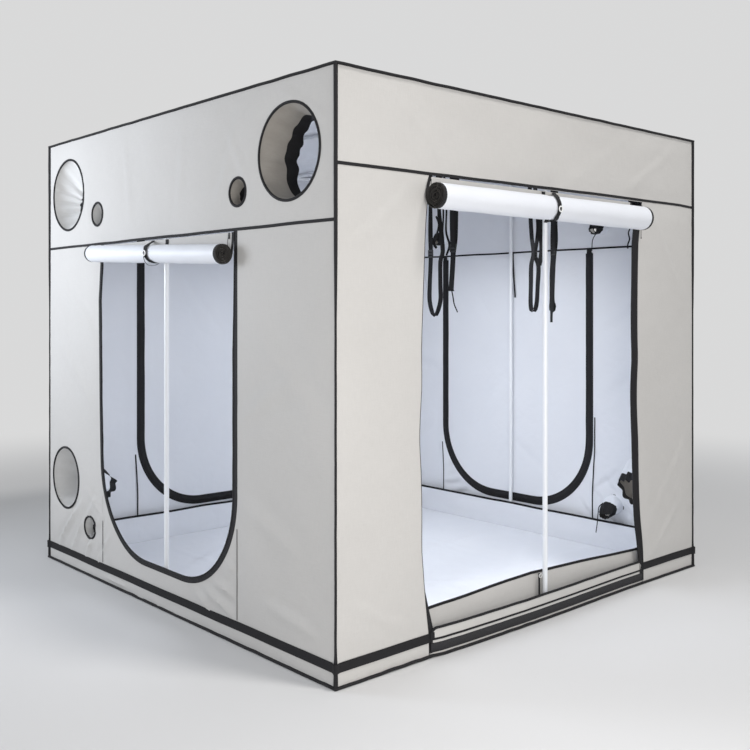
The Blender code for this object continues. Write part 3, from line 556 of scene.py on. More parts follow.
LEFT_EDGE = mm((
    (0, -735), (100, -738), (190, -752), (300, -764), (420, -776), (570, -775), (720, -779), (840, -788),
    (940, -783), (1040, -775), (1200, -777), (1350, -770), (1500, -763), (1670, -755), (1790, -740),
    (1860, -735),
))
RIGHT_EDGE = mm((
    (0, 738), (130, 737), (210, 729), (290, 715), (360, 706), (460, 699), (560, 695), (700, 692),
    (800, 684), (900, 679), (980, 681), (1100, 690), (1210, 685), (1350, 685), (1520, 688), (1670, 694),
    (1800, 720), (1860, 735),
))


def doorway_edge(table):
    """The doorway's edge from the floor up to the header seam."""
    count = 36
    heights = [EDGE_GAP + (FRONT_SEAM - EDGE_GAP) * i / count for i in range(count + 1)]
    return [(sum(graded(table, up + step) for step in (-0.02, 0, 0.02)) / 3, up) for up in heights]


left_edge = doorway_edge(LEFT_EDGE)
right_edge = doorway_edge(RIGHT_EDGE)
front_outline = (
    [(-HALF, EDGE_GAP)] + left_edge + right_edge[::-1]
    + [(HALF, EDGE_GAP), (HALF, TOP), (-HALF, TOP)]
)
front_drape = Drape(
    11, 0.0060,
    mm((
        ((-1160, 300), (-820, 120), 18, 3.5), ((-1140, 1550), (-800, 1830), 20, 3),
        ((780, 100), (1120, 420), 16, 3), ((800, 300), (1160, 720), 22, 2.5),
        ((800, 1820), (1100, 1400), 20, 3), ((-600, 1860), (-950, 2160), 22, 2),
        ((550, 1870), (1050, 2170), 20, 3), ((100, 1870), (620, 2160), 30, 2),
    )),
)
seam_lines = [[(-HALF, FRONT_SEAM), (HALF, FRONT_SEAM)], [(-HALF, BASE_LINE), (HALF, BASE_LINE)]]
front_wall = cut_cloth(
    "front_canvas", front_outline, [], on_front, front_drape, (canvas, film), seam_lines,
)
cloth_piece(
    front_wall, "canvas", "front_wall", flat=(2.4, 2.2), held="stretched", area=2.60,
    rests_on=["front_top_rail", "front_left_upright", "front_right_upright"],
)

# The back wall is one cut round a zipped door that stays shut.
back_bay = u_line(BACK_BAY, BAY_FOOT, BAY_CORNER, FRONT_SEAM)
back_drape = Drape(
    23, 0.0065,
    mm((
        ((-1150, 850), (-720, 350), 22, 3.5), ((1100, 600), (700, 250), 20, 3.5),
        ((-500, 150), (0, 90), 16, 3), ((150, 1880), (750, 2150), 24, 3),
        ((-800, 1880), (-350, 2150), 24, 2.5),
    )),
)
back_wall = cut_cloth(
    "back_canvas", rectangle(-HALF, EDGE_GAP, HALF, TOP), [back_bay], on_back, back_drape,
    (canvas, film), seam_lines,
)
cloth_piece(
    back_wall, "canvas", "back_wall", flat=(2.4, 2.2), held="stretched", area=3.06,
    rests_on=["back_top_rail", "back_left_upright", "back_right_upright"],
)

# Each side wall is a header with four round vents above its seam, and a lower panel round
# the door bay with two more. Faint upright seams join its widths below the bay.
side_bay = u_line(SIDE_BAY, BAY_FOOT, BAY_CORNER, SIDE_SEAM)
FAR_LEG = mm(((250, 0), (400, 7), (640, 18), (890, 27), (1240, 33), (1380, 36), (1555, 18), (1650, 10)))


def left_bay(top, step):
    """The open bay's edge, whose far leg the slack cloth lets lean out."""
    line = spaced(u_line(SIDE_BAY, BAY_FOOT, BAY_CORNER, top, 24), step, closed=False)
    return [(p[0] - (graded(FAR_LEG, p[1]) if p[0] < 0 else 0.0), p[1]) for p in line]


header_creases = mm((
    ((-720, 1700), (-800, 2120), 18, 3.5), ((400, 1720), (620, 2140), 24, 4),
    ((720, 1700), (500, 2100), 22, 4), ((-300, 1700), (-360, 2160), 26, 3.5),
    ((120, 1700), (180, 2160), 28, 3.5), ((860, 2170), (1160, 2000), 22, 4),
))
lower_creases = mm((
    ((-1100, 85), (-790, 370), 16, 17.6), ((-953, 76), (-645, 406), 14, 12.8),
    ((-790, 66), (-569, 344), 14, 14.4), ((-656, 63), (-485, 256), 12, 11.2),
    ((-1150, 315), (-929, 287), 14, 9.6), ((-767, 443), (-569, 305), 14, 9.6),
    ((356, 175), (578, 104), 16, 12.8), ((417, 221), (606, 182), 14, 12), ((277, 150), (417, 73), 14, 9.6),
    ((506, 321), (606, 270), 14, 8), ((606, 579), (996, 418), 40, 8), ((578, 894), (996, 1077), 40, 7.2),
    ((676, 1254), (1113, 941), 50, 8), ((-1125, 1222), (-634, 787), 40, 8),
    ((-1075, 1487), (-634, 1182), 34, 7.2), ((756, 216), (1113, 155), 22, 8),
))
band_creases = mm((
    ((-612, 33), (-247, 25), 9, 8.5), ((-444, 39), (-116, 42), 8, 8), ((-247, 25), (-116, 0), 7, 10),
    ((-116, 42), (10, 2), 8, 9), ((10, 20), (277, 14), 9, 6), ((-953, 3), (-656, 33), 8, 5),
    ((432, 11), (756, -15), 10, 5),
))
for side, place, seed in (("left", on_left, 31), ("right", on_right, 47)):
    header = cut_cloth(
        side + "_header_canvas", rectangle(-HALF, SIDE_SEAM, HALF, TOP),
        [vent_hole(name) for name in ("large_rear", "small_rear", "large_front", "small_front")],
        place, Drape(seed, 0.0055, header_creases), (canvas, film),
    )
    lower = cut_cloth(
        side + "_lower_canvas",
        [(-HALF, EDGE_GAP), (HALF, EDGE_GAP), (HALF, SIDE_SEAM)]
        + (left_bay(SIDE_SEAM, 0.03) if side == "left" else side_bay)[::-1] + [(-HALF, SIDE_SEAM)],
        [vent_hole(name) for name in ("medium", "small_low")],
        place, Drape(seed + 2, 0.0060, lower_creases + band_creases, reach=0.07), (canvas, film),
        [
            [(-HALF, BASE_LINE), (HALF, BASE_LINE)], [(-SIDE_BAY, BASE_LINE), (-SIDE_BAY, 0.30)],
            [(SIDE_BAY + 0.003, BASE_LINE), (SIDE_BAY + 0.003, 0.46)],
        ],
    )
    for piece, part, size, area in (
        (header, "_header", (2.4, 0.547), 1.06), (lower, "_wall", (2.4, 1.653), 2.12),
    ):
        cloth_piece(
            piece, "canvas", side + part, flat=size, held="stretched", area=area,
            rests_on=[side + "_top_rail", side + "_base_rail"],
        )

# The two shut doors are panels that fill their bays as far as the zips.
SHUT_TAPE = 0.040
ROUNDED_OFF = 0.064
for side, seed in (("right", 61), ("back", 71)):
    place, bay, seam = WALLS[side]
    edge = SHUT_TAPE - 0.004
    outline = u_line(bay - edge, BAY_FOOT + edge, BAY_CORNER - edge, seam)
    creases = mm((
        ((-350, 300), (100, 620), 26, 3.5), ((420, 420), (50, 950), 30, 3.5),
        ((-400, 1500), (-100, 1050), 30, 3.5), ((400, 1550), (120, 1200), 26, 3),
    ))
    door = cut_cloth(
        side + "_door_canvas", outline, [], place, Drape(seed, 0.0075, creases), (canvas, film),
    )
    width, height = 2 * (bay - edge), seam - BAY_FOOT - edge
    cloth_piece(
        door, "canvas", side + "_door_panel", flat=(width, height), held="hung",
        area=width * height - ROUNDED_OFF, rests_on=[side + "_zip_tape"],
    )

# The roof is stretched over the two bars, and the ground sheet lies under the base rails.
def on_roof(across, out, along):
    return Vector((across, along, TOP + out))


def on_ground(across, out, along):
    return Vector((across, -along, 0.0008 - out))


class RoofDrape(Drape):
    """A roof that sags between the bars it rests on."""

    def __call__(self, places, sewn):
        out = super().__call__(places, sewn)
        sag = np.cos(np.pi * np.clip(np.abs(np.abs(places[:, 0]) - 0.8) / 0.4, 0, 1) / 2)
        middle = np.cos(np.pi * np.clip(np.abs(places[:, 0]) / 0.4, 0, 1) / 2)
        return out * 0.5 - 0.006 * soft_step(sewn / 0.2) * np.where(np.abs(places[:, 0]) < 0.4, middle, sag)


roof_creases = mm((
    ((-1000, -1000), (-450, -300), 30, 4), ((1000, 1000), (500, 350), 30, 4),
    ((900, -1000), (450, -200), 30, 4), ((-300, 900), (300, 200), 30, 3),
))
square = rectangle(-HALF, -HALF, HALF, HALF)
roof = cut_cloth(
    "roof_canvas", square, [], on_roof, RoofDrape(83, 0.005, roof_creases, bias=0.0),
    (canvas, film),
)
ground = cut_cloth("ground_canvas", square, [], on_ground, lie_flat, (canvas, canvas), cell=0.06)
for piece, node, held, under in (
    (roof, "roof_panel", "stretched", ["left_roof_bar", "right_roof_bar"]),
    (ground, "ground_sheet", "laid", ["studio_floor"]),
):
    cloth_piece(piece, "canvas", node, flat=(2.4, 2.4), held=held, rests_on=under)


# Binding: black grosgrain tape folded over every raw edge of the skin and sewn through, so
# that a round bead stands at each corner with a flat leg on the wall at each side of it.
def worn_black(name, thread, roughness, across_share=1.0):
    """Black woven tape: cross ribs with a finer thread along them, a little dusty."""
    tape = Finish(name, Roughness=roughness, Specular_IOR_Level=0.3)
    uv = tape.node("ShaderNodeUVMap")
    u, v, _ = tape.parts(uv)
    ribs = (u * (math.pi / thread)).math("SINE").math("ABSOLUTE")
    threads = (v * (math.pi / thread) * across_share + (u * (math.pi / thread)).math("FLOOR")).math("SINE")
    dust = tape.noise(uv, 30.0, 3.0)
    shade = (0.35 * ribs + 0.65 * dust).clamped()
    dark, light = 0.007, 0.017
    low = (dark, dark * 0.95, dark * 1.15, 1)
    high = (light, light * 0.96, light * 1.08, 1)
    tape.set(
        Base_Color=tape.mixed(shade, low, high),
        Roughness=roughness - 0.08 + 0.16 * dust,
        Normal=tape.bump(ribs * 0.0005 + threads * 0.0002 + dust * 0.0004, 1.0, 0.6),
    )
    return tape


binding_tape = worn_black("black_binding_tape", 0.0016, 0.72)
webbing = worn_black("black_webbing", 0.0026, 0.78, 0.5)
zip_cloth = worn_black("black_zip_tape", 0.0012, 0.66)


def swept(name, rings, finish, closed=False):
    """A closed skin over rings of points, with its map running along and round it."""
    size, count = len(rings[0]), len(rings)
    middles = [sum(ring, Vector()) / size for ring in rings]
    along, round_it = [0.0], [0.0]
    for start, end in zip(middles, middles[1:] + middles[:1]):
        along.append(along[-1] + (end - start).length)
    for start, end in zip(rings[0], rings[0][1:] + rings[0][:1]):
        round_it.append(round_it[-1] + (end - start).length)
    faces, cut = [], []
    for i in range(count if closed else count - 1):
        k = (i + 1) % count
        for j in range(size):
            m = (j + 1) % size
            faces.append((i * size + j, i * size + m, k * size + m, k * size + j))
            for a, b in ((i, j), (i, j + 1), (i + 1, j + 1), (i + 1, j)):
                cut.append((along[a], round_it[b]))
    if not closed:
        for first in (0, (count - 1) * size):
            faces.append(tuple(range(first, first + size)))
            cut += [(along[0] if first == 0 else along[count - 1], round_it[j]) for j in range(size)]
    points = [point for ring in rings for point in ring]
    return finished(mended(new_piece(name, points, faces, (finish,), cut)))


def joined(name, parts):
    bpy.ops.object.select_all(action="DESELECT")
    for part in parts:
        part.select_set(True)
    bpy.context.view_layer.objects.active = parts[0]
    bpy.ops.object.join()
    parts[0].name = name
    parts[0].data.name = name
    parts[0].select_set(False)
    return parts[0]


def shiver(place, size, amount, seed):
    """A small random step sideways for a sewn line."""
    ways = ((1, 0, 0), (0, 1, 0), (0, 0, 1))
    return Vector([amount * noise.noise(place / size + seed * Vector(way)) for way in ways])


def with_runs(line):
    """Each place of a line with the way that the line runs there."""
    last = len(line) - 1
    return [(line[i], (line[min(i + 1, last)] - line[max(i - 1, 0)]).normalized()) for i in range(last + 1)]


CORNER_FOLD = mm((
    (0.4, -7.2), (1.6, -6.8), (1.9, -3), *arc((2.6, 2.6), 3.4, -72, 162, 8),
    (-3, 1.9), (-6.8, 1.6), (-7.2, 0.4), (0.4, 0.4),
))
RIM_FOLD = mm((
    (0.4, -3), (1.6, -2.8), (2.2, -1), *arc((3.6, 3.6), 4.6, -72, 162, 8),
    (-1, 2.6), (-6, 1.7), (-6.4, 0.4), (0.4, 0.4),
))
FOOT_FOLD = mm(((0.4, 0.4), (0.4, 10.6), (1.8, 10.4), (2, 9.6), *arc((5, 5), 4.8, 118, -100, 8)))
CORNER_SIZE = ((0.0, 1.45), (0.06, 1.30), (0.14, 0.80), (1.30, 0.72), (1.55, 1.15), (2.2, 1.35))


def level_tape(name, place, half, count, fold, finish, height):
    """A tape sewn level over a wall: fold lists (out, up) round it, height gives its line."""
    rings = []
    for i in range(count + 1):
        across = -half + i * 2 * half / count
        rings.append([place(across, out, height(across) + up) for out, up in fold])
    return swept(name, rings, finish)


def loop_stations():
    """Places round the tent's plan with the way out at each, diagonal at the corners."""
    step = 0.03
    corners = [(-1, -1), (1, -1), (1, 1), (-1, 1)]
    outs = [(0, -1), (1, 0), (0, 1), (-1, 0)]
    stations = []
    for i, (sx, sy) in enumerate(corners):
        ex, ey = corners[(i + 1) % 4]
        start, end = Vector((sx, sy)) * HALF, Vector((ex, ey)) * HALF
        stations.append((start, Vector((sx, sy))))
        count = int((end - start).length / step)
        stations += [(start.lerp(end, k / count), Vector(outs[i])) for k in range(1, count)]
    return stations


# How far the low band across the doorway bellies out, which the foot's binding follows.
SILL_BULGE = mm((
    (-729, 2), (-700, 9), (-673, 13), (-559, 17), (-374, 20), (-189, 21.5), (86, 17), (240, 12), (387, 7),
    (560, 2), (729, 0.5),
))


def loop_rings(fold, height, wobble, seed):
    rings = []
    for place, way in loop_stations():
        base = Vector((place.x, place.y, height))
        if height == 0 and way.y < -0.9 and way.length < 1.1:
            base.y -= 0.8 * graded(SILL_BULGE, place.x)
        step = shiver(base, 0.11, wobble, seed)
        if way.length > 1.1:
            step = Vector()
        lift = Vector((0, 0, step.z if height > 0 else abs(step.z)))
        rings.append([base + Vector((way.x * out, way.y * out, up)) + lift for out, up in fold])
    return rings


CORNER_STEPS = 73
CORNER_LOW = 0.006
CORNER_RISE = TOP + 0.002 - CORNER_LOW
bindings = [
    swept("binding", loop_rings(RIM_FOLD, TOP, 0.0016, 5.0), binding_tape, closed=True),
    swept("binding", loop_rings(FOOT_FOLD, 0.0, 0.0040, 9.0), binding_tape, closed=True),
]
for corner_x in (-1, 1):
    for corner_y in (-1, 1):
        rings = []
        for i in range(CORNER_STEPS + 1):
            up = CORNER_LOW + i * CORNER_RISE / CORNER_STEPS
            base = Vector((corner_x * HALF, corner_y * HALF, up))
            step = shiver(base, 0.12, 0.0014, 3.0) if 0 < i < CORNER_STEPS else Vector()
            out = Vector((corner_x * abs(step.x), corner_y * abs(step.y), 0))
            size = graded(CORNER_SIZE, base.z)
            rings.append([
                base + out + Vector((corner_x * a * size, corner_y * b * size, 0)) for a, b in CORNER_FOLD
            ])
        bindings.append(swept("binding", rings, binding_tape))
edge_binding = joined("edge_bindings", bindings)

SEAM_FOLD = mm((
    (0.3, -6.2), (1.6, -6), (2.1, -4), (1.6, -2.2), (1.8, 0), (1.6, 2.2), (2.1, 4), (1.6, 6), (0.3, 6.2),
))
SEAM_RISE = ((-1.2, 0.0), (-0.99, 0.001), (-0.32, 0.005), (0.39, 0.010), (1.08, 0.010), (1.2, 0.006))
tapes = []
for place, _, seam in WALLS.values():
    def seam_height(across):
        rise = graded(SEAM_RISE, across) if place is on_front else 0.0014
        return seam + 0.0022 * flutter(across / 0.22, seam, 2.0) + rise

    tapes.append(level_tape("tape", place, HALF - 0.001, 80, SEAM_FOLD, binding_tape, seam_height))
header_tapes = joined("header_seam_tapes", tapes)
for piece in (edge_binding, header_tapes):
    belongs(piece, "edge_binding")


# Base webbing: a 36 mm woven strap sewn round the tent's foot. It starts in a frayed tab
# just inside the doorway's left edge and ends under the right one.
WEB_LOW = 0.057
WEB_WIDTH = 0.036
WEB_START = -0.690
WEB_END = 0.735
WEB_FACE = -1.2020
WEB_REACH = 0.0125
web_path = [Vector((WEB_START - i * (1.180 + WEB_START) / 30, WEB_FACE)) for i in range(30)]
for corner_x, corner_y in ((-1, -1), (-1, 1), (1, 1), (1, -1)):
    turn = [
        (-0.018, 0.0020), (-0.006, 0.0060), (0.002, 0.0110), (0.0085, WEB_REACH - 0.0015),
        (WEB_REACH - 0.0015, 0.0085), (0.0110, 0.002), (0.0060, -0.006), (0.0020, -0.018),
    ]
    if corner_x != corner_y:
        turn = [(b, a) for a, b in turn]
    corner = [Vector((corner_x * (HALF + a), corner_y * (HALF + b))) for a, b in turn]
    start = web_path[-1]
    count = int((corner[0] - start).length / 0.03)
    web_path += [start.lerp(corner[0], k / count) for k in range(1, count)]
    web_path += corner
end = Vector((WEB_END, WEB_FACE))
start = web_path[-1]
web_path += [start.lerp(end, k / 15) for k in range(1, 16)]

WEB_PROFILE = [
    (-0.0008, 0.0006), (-0.0003, 0.0), (0.0007, 0.0003), (0.0009, 0.0030), (0.0006, 0.0060),
    (0.0008, 0.0180), (0.0006, WEB_WIDTH - 0.0060), (0.0009, WEB_WIDTH - 0.0030),
    (0.0007, WEB_WIDTH - 0.0003), (-0.0003, WEB_WIDTH), (-0.0008, WEB_WIDTH - 0.0006), (-0.0008, 0.0180),
]


def strap_rings(path, profile, low, sway, seed):
    """Rings of a strap that stands on edge along a line in plan."""
    rings = []
    for point, run in with_runs(path):
        way = Vector((-run.y, run.x))
        lift = sway * flutter(point.x / 0.35, point.y / 0.35, seed)
        if point.y < -HALF and point.x > 0.6:
            lift += graded(((0.6, 0.010), (1.0, 0.011), (1.2, 0.008)), point.x)
        rings.append([
            Vector((point.x + way.x * out, point.y + way.y * out, low + lift + up)) for out, up in profile
        ])
    return rings


rings = strap_rings(web_path, WEB_PROFILE, WEB_LOW, 0.0022, 4.0)
base_webbing = swept("base_webbing", rings, webbing)
fray = []
for i in range(9):
    up = WEB_LOW + 0.003 + i * 0.0037
    length = 0.006 + 0.010 * abs(flutter(i * 3.3, 1.7, 0.0))
    tip = Vector((WEB_START + length, WEB_FACE - 0.0002, up + 0.004 * flutter(i * 2.1, 5.0, 0.0)))
    root = Vector((WEB_START - 0.002, WEB_FACE, up))
    fray.append(swept("thread", [
        [middle + Vector((0, wide * math.cos(t), high * math.sin(t))) for t in (0, 1.57, 3.14, 4.71)]
        for middle, wide, high in (
            (root, 0.0006, 0.0012), ((root + tip) / 2, 0.0005, 0.0008), (tip, 0.0003, 0.0004),
        )
    ], webbing))
base_webbing = joined("base_webbing_strap", [base_webbing] + fray)
belongs(base_webbing, "base_webbing")


# Zips: black tape sewn to the cloth round each door bay, with the zip's coil along its free
# edge where the door is open and down its middle where it is shut.
OPEN_TAPE = 0.027
HALF_TAPE = 0.030


def tape_profile(width, shut):
    """(across from the bay's edge, out) round the tape, with slots that grip the cloth."""
    if not shut:
        coil = width - 0.007
        return [
            (-0.0050, 0.0004), (-0.0046, 0.0015), (0.0010, 0.0018), (0.0100, 0.0012),
            (coil - 0.002, 0.0013), (coil, 0.0036), (coil + 0.003, 0.0046), (coil + 0.006, 0.0036),
            (width, 0.0005), (width, -0.0016), (coil + 0.006, -0.0040), (coil + 0.003, -0.0048),
            (coil, -0.0040), (coil - 0.002, -0.0022), (0.0100, -0.0021), (0.0010, -0.0027),
            (-0.0046, -0.0026), (-0.0050, -0.0017), (0.0005, -0.0017), (0.0005, 0.0004),
        ]
    middle = width / 2
    half = [
        (-0.0050, 0.0004), (-0.0046, 0.0015), (0.0010, 0.0018), (0.0080, 0.0012), (middle - 0.0085, 0.0013),
        (middle - 0.0065, 0.0030), (middle - 0.0030, 0.0036), (middle - 0.0008, 0.0030),
    ]
    back = [(across, -0.0012 - out) for across, out in half[::-1]]
    left = [(0.0005, -0.0017), (0.0005, 0.0004)]
    mirror = [(width - across, out) for across, out in half[::-1]]
    mirror_back = [(width - across, out) for across, out in back[::-1]]
    slot = [(width - 0.0005, 0.0004), (width - 0.0005, -0.0017)]
    return half + mirror + slot + mirror_back + back + left


NARROWER = (
    (0.0, 0.72), (0.36, 0.74), (0.5, 0.8), (0.62, 0.82), (0.72, 1.0), (0.88, 1.0), (0.97, 0.6), (1.0, 0.55),
)


def zip_rings(line, profile, place, seed, shut=True):
    rings = []
    for i, (point, run) in enumerate(with_runs(line)):
        inward = Vector((-run.y, run.x))
        size = 1.0 if shut else graded(NARROWER, i / (len(line) - 1))
        ruffle = 0.0010 * flutter(point.x / 0.06, point.y / 0.06, seed)
        wander = 0.0014 * flutter(point.x / 0.16, point.y / 0.16, seed + 5)
        ring = []
        for across, out in profile:
            free = min(max(across, 0.0) / 0.03, 1.0)
            flat = point + inward * (across * (size if across > 0.001 else 1.0) + wander * free)
            ring.append(place(flat.x, out + ruffle * free, flat.y))
        rings.append(ring)
    return rings


for side in ("left", "right", "back"):
    place, bay, seam = WALLS[side]
    shut, top = side != "left", seam - 0.0045
    line = spaced(u_line(bay, BAY_FOOT, BAY_CORNER, top, 24), 0.02, closed=False)
    if not shut:
        line = [Vector(point) for point in left_bay(top, 0.02)]
    rings = zip_rings(line, tape_profile(SHUT_TAPE if shut else OPEN_TAPE, shut), place, 7.0, shut)
    zip_tape = swept(side + "_bay_zip", rings, zip_cloth)
    belongs(zip_tape, side + "_zip_tape")

# The front doorway's two half zips hang open and turn into the tent, the left one so far
# that little of it shows past its cloth.
FLAT_EDGE = 0.004
for name, edge, sign, turned_in in (("left", left_edge, -1, 76), ("right", right_edge, 1, 38)):
    rings = []
    for point in spaced(edge, 0.02, closed=False):
        if not 0.006 < point.y < FRONT_SEAM - 0.006:
            continue
        lean = turned_in * min(max((point.y - 0.05) / 0.28, 0.12), 1.0)
        if name == "left":
            lean *= 1.0 - soft_step((point.y - 1.76) / 0.05)
        lean = math.radians(lean + 7 * flutter(0.0, point.y / 0.4, 3.0 * sign))
        wander = 0.002 * flutter(point.y / 0.2, sign, 1.0)
        ring = []
        for across, out in tape_profile(HALF_TAPE, False):
            if name == "left" and across < 0:
                across *= 0.1
            if across > 0.001:
                across *= 1.0 - 0.62 * soft_step((point.y - 1.77) / 0.05)
            far = across + wander * min(max(across, 0) / 0.03, 1)
            if far > FLAT_EDGE:
                inwards = far * math.sin(lean) + out * math.cos(lean)
                far, out = far * math.cos(lean) - out * math.sin(lean), 0.0006 - inwards
            ring.append(on_front(point.x - sign * far, out, point.y))
        rings.append(ring)
    tape = swept("front_%s_half_zip" % name, rings, zip_cloth)
    belongs(tape, "front_zip_tape_" + name)


# Sleeves: canvas sleeves sewn behind the round vents, open for ducting or drawn shut with a
# cord in a black hem, and limp enough to fold and droop. A bound rim finishes each hole.
def duct_cloth(name, low, high):
    cloth = Finish(name, Roughness=0.8, Sheen_Weight=0.1)
    uv = cloth.node("ShaderNodeUVMap")
    stain = cloth.noise(uv, 9.0, 4.0, 0.55)
    fold = cloth.noise(cloth.stretched(uv, (22.0, 5.0, 1.0)), 1.0, 4.0)
    return cloth.set(
        Base_Color=cloth.mixed(stain, low, high), Normal=cloth.bump(fold * 0.012 + stain * 0.006, 1.0, 0.5),
    )


# The sleeves are all of one cloth, made here in two copies: a dark one that paints shade onto the front
# sleeves and the right wall's medium one, and a pale one that paints light onto the rest.
painted_shade_cloth = duct_cloth("worn_sleeve_cloth", (0.235, 0.215, 0.190, 1), (0.430, 0.405, 0.370, 1))
painted_light_cloth = duct_cloth("pale_sleeve_cloth", (0.600, 0.590, 0.575, 1), (0.800, 0.795, 0.780, 1))
HEM = 0.042


def sleeve_point(name, turn, share, depth, tip, droop, seed, wild):
    """A point of a sleeve: share runs from its rim, at 0, to its inner end, at 1."""
    radius = VENTS[name][2]
    narrow = 1.0 - (1.0 - tip) * share ** 1.7
    gather = (1.0 - tip) * 0.9 * share ** 1.5
    pleats = math.sin(11 * turn + 2.4 * math.sin(2 * turn + seed)) * 0.5 + 0.5
    sag = flutter(math.cos(turn) * 1.1, math.sin(turn) * 1.1, seed + share * 1.2)
    reach = radius * narrow * (1.0 - 0.45 * gather * pleats) + wild * share * sag * radius
    reach = min(reach, radius * (1.0 - 0.02 * share))
    uneven = flutter(math.cos(turn) * 1.7, math.sin(turn) * 1.7, seed + 9.0)
    deep = depth * share + 0.12 * depth * share * uneven
    fall = droop * depth * share ** 1.6
    upward = max(math.sin(turn), 0.0)
    across, up = vent_round(name, turn, reach)
    return across, -0.0012 - deep, up - fall * (0.6 + 0.6 * upward)


SLEEVES = {
    "large_rear": (0.150, 0.16, 0.45, 0.10),
    "small_rear": (0.080, 0.50, 0.50, 0.10),
    "large_front": (0.145, 0.80, 0.16, 0.24),
    "small_front": (0.080, 0.55, 0.55, 0.12),
    "medium": (0.230, 0.58, 0.35, 0.22),
    "small_low": (0.080, 0.62, 0.72, 0.12),
}
RIM_PROFILE = mm((
    (8, 0.4), (7.8, 1.8), (4, 2.2), (2, 4), (-1, 4.6), (-3, 3), (-3.4, 0), (-3, -2), (-0.4, -2.2),
    (-0.4, 0.4),
))


def build_sleeve(side, place, name, seed):
    radius = VENTS[name][2]
    depth, tip, droop, wild = SLEEVES[name]
    steps = 96 if radius > 0.1 else 48
    stations = 16 if radius > 0.1 else 9
    hem_share = 1.0 - min(HEM, depth * 0.5) / depth
    hem_rows = 3
    shares = [i / (stations - 1) * hem_share for i in range(stations)]
    hem_shares = [hem_share + (1.0 - hem_share) * i / hem_rows for i in range(hem_rows + 1)]

    def shell(rows, finishes, label):
        points, flat = [], []
        for share in rows:
            for k in range(steps + 1):
                turn = math.tau * k / steps
                a, out, b = sleeve_point(name, turn, share, depth, tip, droop, seed, wild)
                points.append(place(a, out, b))
                flat.append((turn * radius, share * depth))
        piece = new_piece(label, points, grid_faces(len(rows), steps + 1), finishes, flat)
        return thickened(mended(piece, merge=True, face_out=False), 0.0010, 0.0)

    # Sleeves that lie in shade take the dark copy of their cloth, painted shade; the others take the pale
    # copy, painted light.
    in_painted_shade = "front" in name or (side, name) == ("right", "medium")
    body = shell(shares, (painted_shade_cloth if in_painted_shade else painted_light_cloth, film), "%s_%s_sleeve" % (side, name))
    hem = shell(hem_shares, (binding_tape, binding_tape), "%s_%s_hem" % (side, name))
    belongs(hem)
    node = "%s_sleeve_%s" % (side, name)
    cloth_piece(
        body, "canvas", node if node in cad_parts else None, held="gathered",
        flat=(math.tau * radius, depth - HEM if radius > 0.1 else depth * 0.5), rests_on=[side + "_header"],
    )
    rings = []
    for turn in (math.tau * k / steps for k in range(steps)):
        across, up = vent_round(name, turn, radius)
        rings.append([
            place(across + t * math.cos(turn), out, up + t * math.sin(turn)) for t, out in RIM_PROFILE
        ])
    rim = swept("%s_%s_rim" % (side, name), rings, binding_tape, closed=True)
    belongs(rim)


for side, place, shift in (("left", on_left, 0.0), ("right", on_right, 40.0)):
    for number, name in enumerate(SLEEVES):
        build_sleeve(side, place, name, shift + 3.7 * number)


# Floor tray: a loose liner of white sheeting whose low walls stand inside the frame, bound
# in black along the top and tied up to the door pole at the front.
TRAY = 1.1650
TRAY_TOP = 0.155
TRAY_FRONT = mm((
    (-1165, 155), (-950, 163), (-681, 176), (-521, 181), (-334, 187), (-147, 193), (-72, 195.5), (74, 189),
    (281, 182), (437, 175), (601, 166.5), (703, 162), (1165, 155),
))


def on_tray(across, out, along):
    return Vector((across, along, 0.0040 + out))


class CreasedFloor(Drape):
    """Sheeting that lies flat but for the folds it was packed in and some soft bulges."""

    def __call__(self, places, sewn):
        out = np.abs(super().__call__(places, sewn)) * 0.9
        for line in (-0.62, -0.02, 0.58):
            for axis in (0, 1):
                bend = places[:, axis] - line - 0.012 * ripples(places, 0.4, 0.4, self.seed + line)
                out += 0.0030 * np.exp(-(bend / 0.016) ** 2)
        return out * soft_step(sewn / 0.05) + 0.0002


floor_creases = mm((
    ((-1000, -900), (-200, -500), 35, 9), ((-700, -200), (300, -700), 30, 7),
    ((100, -900), (900, -350), 35, 8), ((-200, 200), (800, 600), 40, 7), ((-900, 400), (-100, 900), 40, 7),
    ((300, -100), (1000, 0), 30, 7),
))
tray_floor = cut_cloth(
    "tray_sheet", rectangle(-TRAY + 0.003, -TRAY + 0.003, TRAY - 0.003, TRAY - 0.003), [], on_tray,
    CreasedFloor(91, 0.006, floor_creases), (film, film), cell=0.020,
)
cloth_piece(tray_floor, "lining", "tray_floor", flat=(2.33, 2.33), held="laid", rests_on=["ground_sheet"])


def tray_height(along, side):
    """The tray wall's height at a share of its run. The front is tied up to the door pole."""
    return TRAY_TOP if side else graded(TRAY_FRONT, TRAY * (2 * along - 1))


